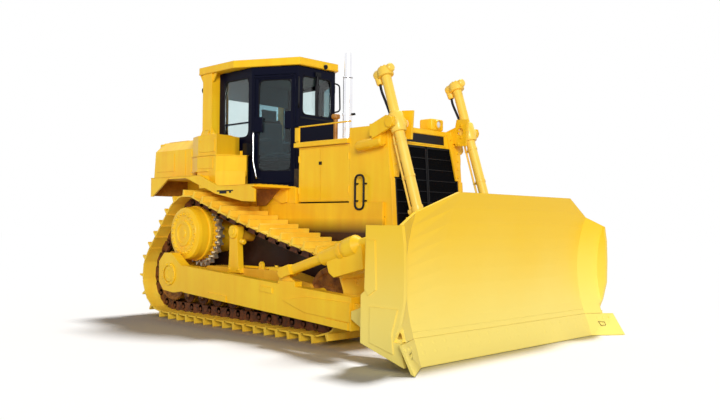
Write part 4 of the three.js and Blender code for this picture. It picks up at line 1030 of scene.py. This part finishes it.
# Levers, a hand wheel and a gauge hood on the console, and the two arm rests.
bm = bmesh.new()
for y, lean, tall in ((-0.15, -0.06, 0.20), (-0.09, -0.05, 0.16), (0.13, -0.07, 0.22)):
    add_rod(bm, (-0.640, y, 2.498), (-0.640 + lean, y, 2.498 + tall), 0.008, 10)
    add_turned(bm, (-0.640 + lean, y, 2.495 + tall), (0, 0, 1), [(0, 0), (0.004, 0.016), (0.024, 0.022),
        (0.044, 0.014), (0.048, 0)], 14)
add_rod(bm, (-0.660, 0, 2.495), (-0.735, 0, 2.640), 0.014, 12)
wheel_hub = Vector((-0.732, 0, 2.632))
add_turned(bm, wheel_hub, (-0.45, 0, 0.9), [(-0.010, 0.132), (0, 0.144), (0.010, 0.132), (0, 0.120)], 36,
           ring=True)
for spoke in range(3):
    turn = 2 * math.pi * spoke / 3
    across = Vector((0, 1, 0)) * math.cos(turn) + Vector((0.894, 0, 0.447)) * math.sin(turn)
    add_rod(bm, wheel_hub, wheel_hub + across * 0.130, 0.008, 8)
gauge_hood = add_block(bm, (-0.640, -0.190, 2.500), (-0.560, 0.190, 2.590))
round_edges(bm, gauge_hood, 0.02)
for pedal in (-0.10, 0.0, 0.10):
    add_block(bm, (-0.760, pedal - 0.030, 1.90), (-0.715, pedal + 0.030, 1.98))
    add_rod(bm, (-0.72, pedal, 1.858), (-0.735, pedal, 1.93), 0.010, 8)
make_piece("console_controls", bm, "chassis", "black_paint", satin_black)


# ---- Operator's seat ----
# Three cushions of moulded foam under stretched cloth, with a welted seam round each, sit on a plastic
# shell over a suspension box. The seat back leans a little.
seat_cloth, tree, place = new_material("woven seat cloth")
# Threads are 1 mm apart, drawn at 6 mm so that they show.
warp = add_node(tree, "TexWave", {"Vector": place, "Scale": 50, "Distortion": 0.6}, bands_direction="Y")
weft = add_node(tree, "TexWave", {"Vector": place, "Scale": 50, "Distortion": 0.6},
                bands_direction="DIAGONAL")
weave = add_node(tree, "Math", {0: warp.outputs["Fac"], 1: weft.outputs["Fac"]}, operation="MULTIPLY")
tint = add_node(tree, "Mix", {"Factor": weave, 6: linear("4a5358"), 7: linear("7d888d")}, data_type="RGBA")
bump = add_node(tree, "Bump", {"Strength": 0.3, "Distance": 0.002, "Height": weave})
shader = add_node(tree, "BsdfPrincipled", {"Base Color": tint.outputs[2], "Roughness": 0.9, "Normal": bump,
    "Sheen Weight": 0.3})
add_node(tree, "OutputMaterial", {"Surface": shader})


def make_cushion(name, low, high, thin, lean):
    """A crowned cushion, thin along one axis, its sides drawn in between the corners, leaning about Y."""
    bm = bmesh.new()
    low, high = Vector(low), Vector(high)
    made = add_block(bm, low, high)
    bmesh.ops.subdivide_edges(bm, edges=bm.edges[:], cuts=9, use_grid_fill=True)
    middle, half = (low + high) / 2, (high - low) / 2
    others = [axis for axis in range(3) if axis != thin]
    for vert in bm.verts:
        part = Vector([(vert.co[axis] - middle[axis]) / half[axis] for axis in range(3)])
        a, b = others
        # The faces crown towards the middle, round off at the rim, and two sewn channels cross them.
        crown = (1 - part[a] ** 4) * (1 - part[b] ** 4)
        channel = 0.10 * sum(math.exp(-((part[b] - at) / 0.09) ** 2) for at in (-0.36, 0.36)) * crown
        pull = 0.05 * (1 - abs(part[thin])) + 0.10 * abs(part[thin]) ** 3
        vert.co[thin] = middle[thin] + half[thin] * part[thin] * (0.55 + 0.45 * crown - channel)
        for axis, other in ((a, b), (b, a)):
            crown = 0.035 * (1 - part[other] ** 2) * abs(part[axis])
            vert.co[axis] = middle[axis] + half[axis] * part[axis] * (1 - pull - crown)
    hinge = Vector((middle.x, 0, low.z))
    bmesh.ops.rotate(bm, verts=bm.verts, cent=hinge, matrix=Matrix.Rotation(lean, 3, "Y"))
    cushion = make_piece(name, bm, "chassis", "seat_cover", seat_cloth, sharp=80)
    smooth = cushion.modifiers.new("stretched cloth", "SUBSURF")
    smooth.levels = smooth.render_levels = 1
    return cushion


seat_low, seat_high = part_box("operator_seat")
make_cushion("seat_base_cushion", (seat_low.x + 0.150, -0.245, 2.200), (seat_high.x - 0.004, 0.245, 2.330),
             2, 0)
make_cushion("seat_back_cushion", (seat_low.x + 0.050, -0.235, 2.300), (seat_low.x + 0.185, 0.235, 2.800),
             0, -0.06)
make_cushion("seat_head_cushion", (seat_low.x + 0.030, -0.130, 2.810), (seat_low.x + 0.130, 0.130, 2.975),
             0, -0.06)
for side in (1, -1):
    y0, y1 = sorted((side * 0.212, side * 0.258))
    make_cushion(f"arm_rest_{'left' if side > 0 else 'right'}", (seat_low.x + 0.110, y0, 2.475),
                 (seat_low.x + 0.430, y1, 2.530), 2, 0)
bm = bmesh.new()
shell = add_block(bm, (seat_low.x + 0.020, -0.235, 2.190), (seat_low.x + 0.060, 0.235, 2.840))
shell += add_block(bm, (seat_low.x + 0.060, -0.235, 2.165), (seat_high.x - 0.030, 0.235, 2.206))
round_edges(bm, shell, 0.014)
add_block(bm, (seat_low.x + 0.130, -0.200, 1.852), (seat_high.x - 0.060, 0.200, 1.930))
for rib in range(6):
    z = 1.935 + rib * 0.038
    add_block(bm, (seat_low.x + 0.145, -0.185, z), (seat_high.x - 0.075, 0.185, z + 0.026))
    add_block(bm, (seat_low.x + 0.160, -0.170, z + 0.024), (seat_high.x - 0.090, 0.170, z + 0.040))
seat_shell = make_piece("seat_shell_and_suspension", bm, "chassis", "seat_cover", window_rubber)
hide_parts("operator_seat")

engine_iron = oily_steel_and_painted_shade("oily engine casting", "24211d", "4a3a28", 0.6)
dress(engine_iron, "engine_block")


# ---- Roll-over canopy ----
# The canopy roof is a folded steel box on two square posts, flared where they are welded on at the head
# and at the foot flange. The posts' rear legs are thinner angle, coloured brown as painted shade.
bm = bmesh.new()
for side in (1, -1):
    for z_foot, z_tip, reach in ((2.531, 2.66, 0.10), (3.448, 3.33, 0.09)):
        for x, way in ((-1.802, 1), (-2.026, -1)):
            outline = [(x, z_foot), (x + way * reach, z_foot), (x + way * 0.012, z_tip), (x, z_tip)]
            add_plate(bm, [(px, side * 0.625, pz) for px, pz in outline], (0, side * 0.020, 0))
            add_plate(bm, [(px, side * 0.745, pz) for px, pz in outline], (0, side * 0.020, 0))
    outline = [(side * 0.786, 2.531), (side * 0.826, 2.531), (side * 0.786, 2.64)]
    add_plate(bm, [(-1.95, y, z) for y, z in outline], (0.10, 0, 0))
    for x in (-2.01, -1.92, -1.83):
        add_disc(bm, (x, side * 0.806, 2.529), (0, 0, 1), 0.015, 0.014)
# A folded gutter runs round the roof's lower edge.
rim = [(-2.104, -0.791), (-1.284, -0.791), (-0.404, -0.352), (-0.404, 0.352), (-1.284, 0.791),
       (-2.104, 0.791)]
for before, after in zip(rim, rim[1:] + rim[:1]):
    before, after = Vector((*before, 3.452)), Vector((*after, 3.452))
    inwards = Vector((0, 0, 1)).cross(after - before).normalized() * 0.006
    add_plate(bm, [before, after, after + Vector((0, 0, 0.014)), before + Vector((0, 0, 0.014))], -inwards)
add_block(bm, (-1.70, -0.45, 3.5505), (-1.00, 0.45, 3.556))
make_piece("canopy_gussets", bm, "chassis", "yellow_paint", yellow)
bm = bmesh.new()
for side in (1, -1):
    add_block(bm, (-2.052, side * 0.640, 2.531), (-2.027, side * 0.760, 3.440))
make_piece("canopy_rear_legs", bm, "chassis", "yellow_paint", painted_shade_brown)


# ---- Tanks, steps and fenders ----
# Saddle tanks stand in three welded steps; the fuel tank behind is pressed with a sloping top. Covers,
# filler caps, seams and foot plates are bolted or welded on, all in the machine's enamel.
bm = bmesh.new()
for side in (1, -1):
    # Weld seams round each step of the saddle tank.
    for z, plan in ((2.022, [(-1.784, 1.108), (-1.544, 1.188), (-1.289, 1.188), (-0.936, 0.832),
            (-0.940, 0.800)]), (2.232, [(-1.784, 1.108), (-1.544, 1.188), (-1.109, 1.188), (-0.949, 0.800),
            (-1.044, 0.712)])):
        for before, after in zip(plan, plan[1:]):
            before, after = Vector((before[0], side * before[1], z)), Vector((after[0], side * after[1], z))
            out = Vector((0, 0, 1)).cross(before - after).normalized() * 0.007 * side
            add_plate(bm, [before - out, after - out, after + out, before + out], (0, 0, -0.014))
    # Bolted covers and a filler cap.
    add_block(bm, (-1.500, side * 1.1695, 2.270), (-1.150, side * 1.178, 2.440))
    add_block(bm, (-1.510, side * 1.1795, 2.050), (-1.180, side * 1.186, 2.190))
    for x in (-1.48, -1.17):
        for z in (2.29, 2.42):
            add_disc(bm, (x, side * 1.177, z), (0, side, 0), 0.010, 0.008)
    add_turned(bm, (-1.50, side * 0.95, 2.5005), (0, 0, 1), [(0, 0.075), (0.016, 0.075), (0.016, 0.060),
        (0.050, 0.060), (0.056, 0.052), (0.056, 0)], 28)
    add_block(bm, (-1.30, side * 0.96 - 0.09, 2.5005), (-1.17, side * 0.96 + 0.09, 2.506))
    # Inset plates on the fuel tank's flanks and rear, left bare.
    add_block(bm, (-2.790, side * 1.0395, 2.060), (-2.330, side * 1.046, 2.310))
    for x in (-2.06, -1.90):
        add_block(bm, (x, side * 1.0395, 1.975), (x + 0.012, side * 1.046, 2.350))
    add_block(bm, (-2.70, side * 0.80 - 0.10, 2.5005), (-2.20, side * 0.80 + 0.10, 2.507))
    # Lips of the fender's edge and its front gusset under the cab.
    for x0, x1, z0, z1 in ((-2.52, -1.29, 1.950, 1.956), (-0.883, -0.13, 1.799, 1.806)):
        add_block(bm, (x0, side * 1.262, z0), (x1, side * 1.308, z1))
    outline = [(-0.78, 1.779), (-0.20, 1.776), (-0.20, 1.600), (-0.30, 1.582)]
    add_plate(bm, [(x, side * 0.704, z) for x, z in outline], (0, side * 0.018, 0))
    # Tread bars on the foot plate in front of the cab.
    for bar in range(6):
        y = side * (0.76 + bar * 0.085)
        add_block(bm, (-0.84, y - 0.010, 1.8045), (-0.14, y + 0.010, 1.812))
add_block(bm, (-2.8535, -0.60, 2.10), (-2.838, 0.60, 2.13))
add_turned(bm, (-2.30, 0.0, 2.5005), (0, 0, 1), [(0, 0.095), (0.014, 0.095), (0.014, 0.075), (0.060, 0.075),
    (0.068, 0.066), (0.068, 0)], 32)
make_piece("tank_fittings", bm, "chassis", "yellow_paint", yellow)

# Black strips on the fender's edge are painted shade for slots; beside the step stands a black box.
bm = bmesh.new()
for side in (1, -1):
    add_block(bm, (-0.905, side * 1.2985, 1.728), (-0.560, side * 1.3035, 1.742))
    add_block(bm, (-0.850, side * 1.2985, 1.700), (-0.700, side * 1.3035, 1.728))
    add_block(bm, (-0.640, side * 1.2985, 1.706), (-0.600, side * 1.3035, 1.735))
    add_block(bm, (-1.040, side * 0.705, 2.240), (-0.950, side * 0.800, 2.395))
make_piece("fender_slot_shade_and_box", bm, "chassis", "black_paint", satin_black)
bm = bmesh.new()
for side in (1, -1):
    add_block(bm, (-1.120, side * 0.712, 2.232), (-1.020, side * 0.790, 2.300))
    add_disc(bm, (-1.0205, side * 0.750, 2.265), (1, 0, 0), 0.016, 0.006, 14)
make_piece("step_box", bm, "chassis", "yellow_paint", yellow)
# Splash plates close the fender behind and under the cab, coloured brown as painted shade.
bm = bmesh.new()
for side in (1, -1):
    add_block(bm, (-2.520, side * 0.700, 1.700), (-2.508, side * 1.270, 1.935))
    outline = [(-0.800, 1.776), (-0.330, 1.771), (-0.620, 1.560), (-0.800, 1.560)]
    add_plate(bm, [(x, side * 0.724, z) for x, z in outline], (0, side * 0.008, 0))
make_piece("splash_plates", bm, "chassis", "yellow_paint", painted_shade_brown)

# The rear lamps, the drawbar pin, and the bolted covers of the rear case.
bm = bmesh.new()
for side in (1, -1):
    add_block(bm, (-2.885, side * 0.86 - 0.075, 2.375), (-2.800, side * 0.86 + 0.075, 2.485))
    add_turned(bm, (-2.640, side * 0.36, 1.15), (-1, 0, 0), [(0, 0.150), (0.020, 0.150), (0.020, 0.110),
        (0.034, 0.100), (0.034, 0)], 36)
    for bolt in range(10):
        turn = 2 * math.pi * bolt / 10
        start = (-2.659, side * 0.36 + 0.130 * math.cos(turn), 1.15 + 0.130 * math.sin(turn))
        add_disc(bm, start, (-1, 0, 0), 0.013, 0.012)
add_block(bm, (-2.660, -0.16, 1.32), (-2.643, 0.16, 1.50))
add_turned(bm, (-2.954, 0, 0.585), (0, 0, 1), [(0, 0), (0, 0.034), (0.250, 0.034), (0.262, 0.050),
    (0.290, 0.050), (0.290, 0)], 20)
for x in (-2.2, -1.6, -1.0, -0.4, 0.2, 0.8):
    for side in (1, -1):
        add_disc(bm, (x, side * 0.52, 0.541), (0, 0, -1), 0.020, 0.012)
add_block(bm, (-1.30, -0.30, 0.530), (-0.60, 0.30, 0.541))
add_block(bm, (-0.10, -0.30, 0.530), (0.60, 0.30, 0.541))
make_piece("rear_case_covers", bm, "chassis", "yellow_paint", rail_enamel_dark_low)
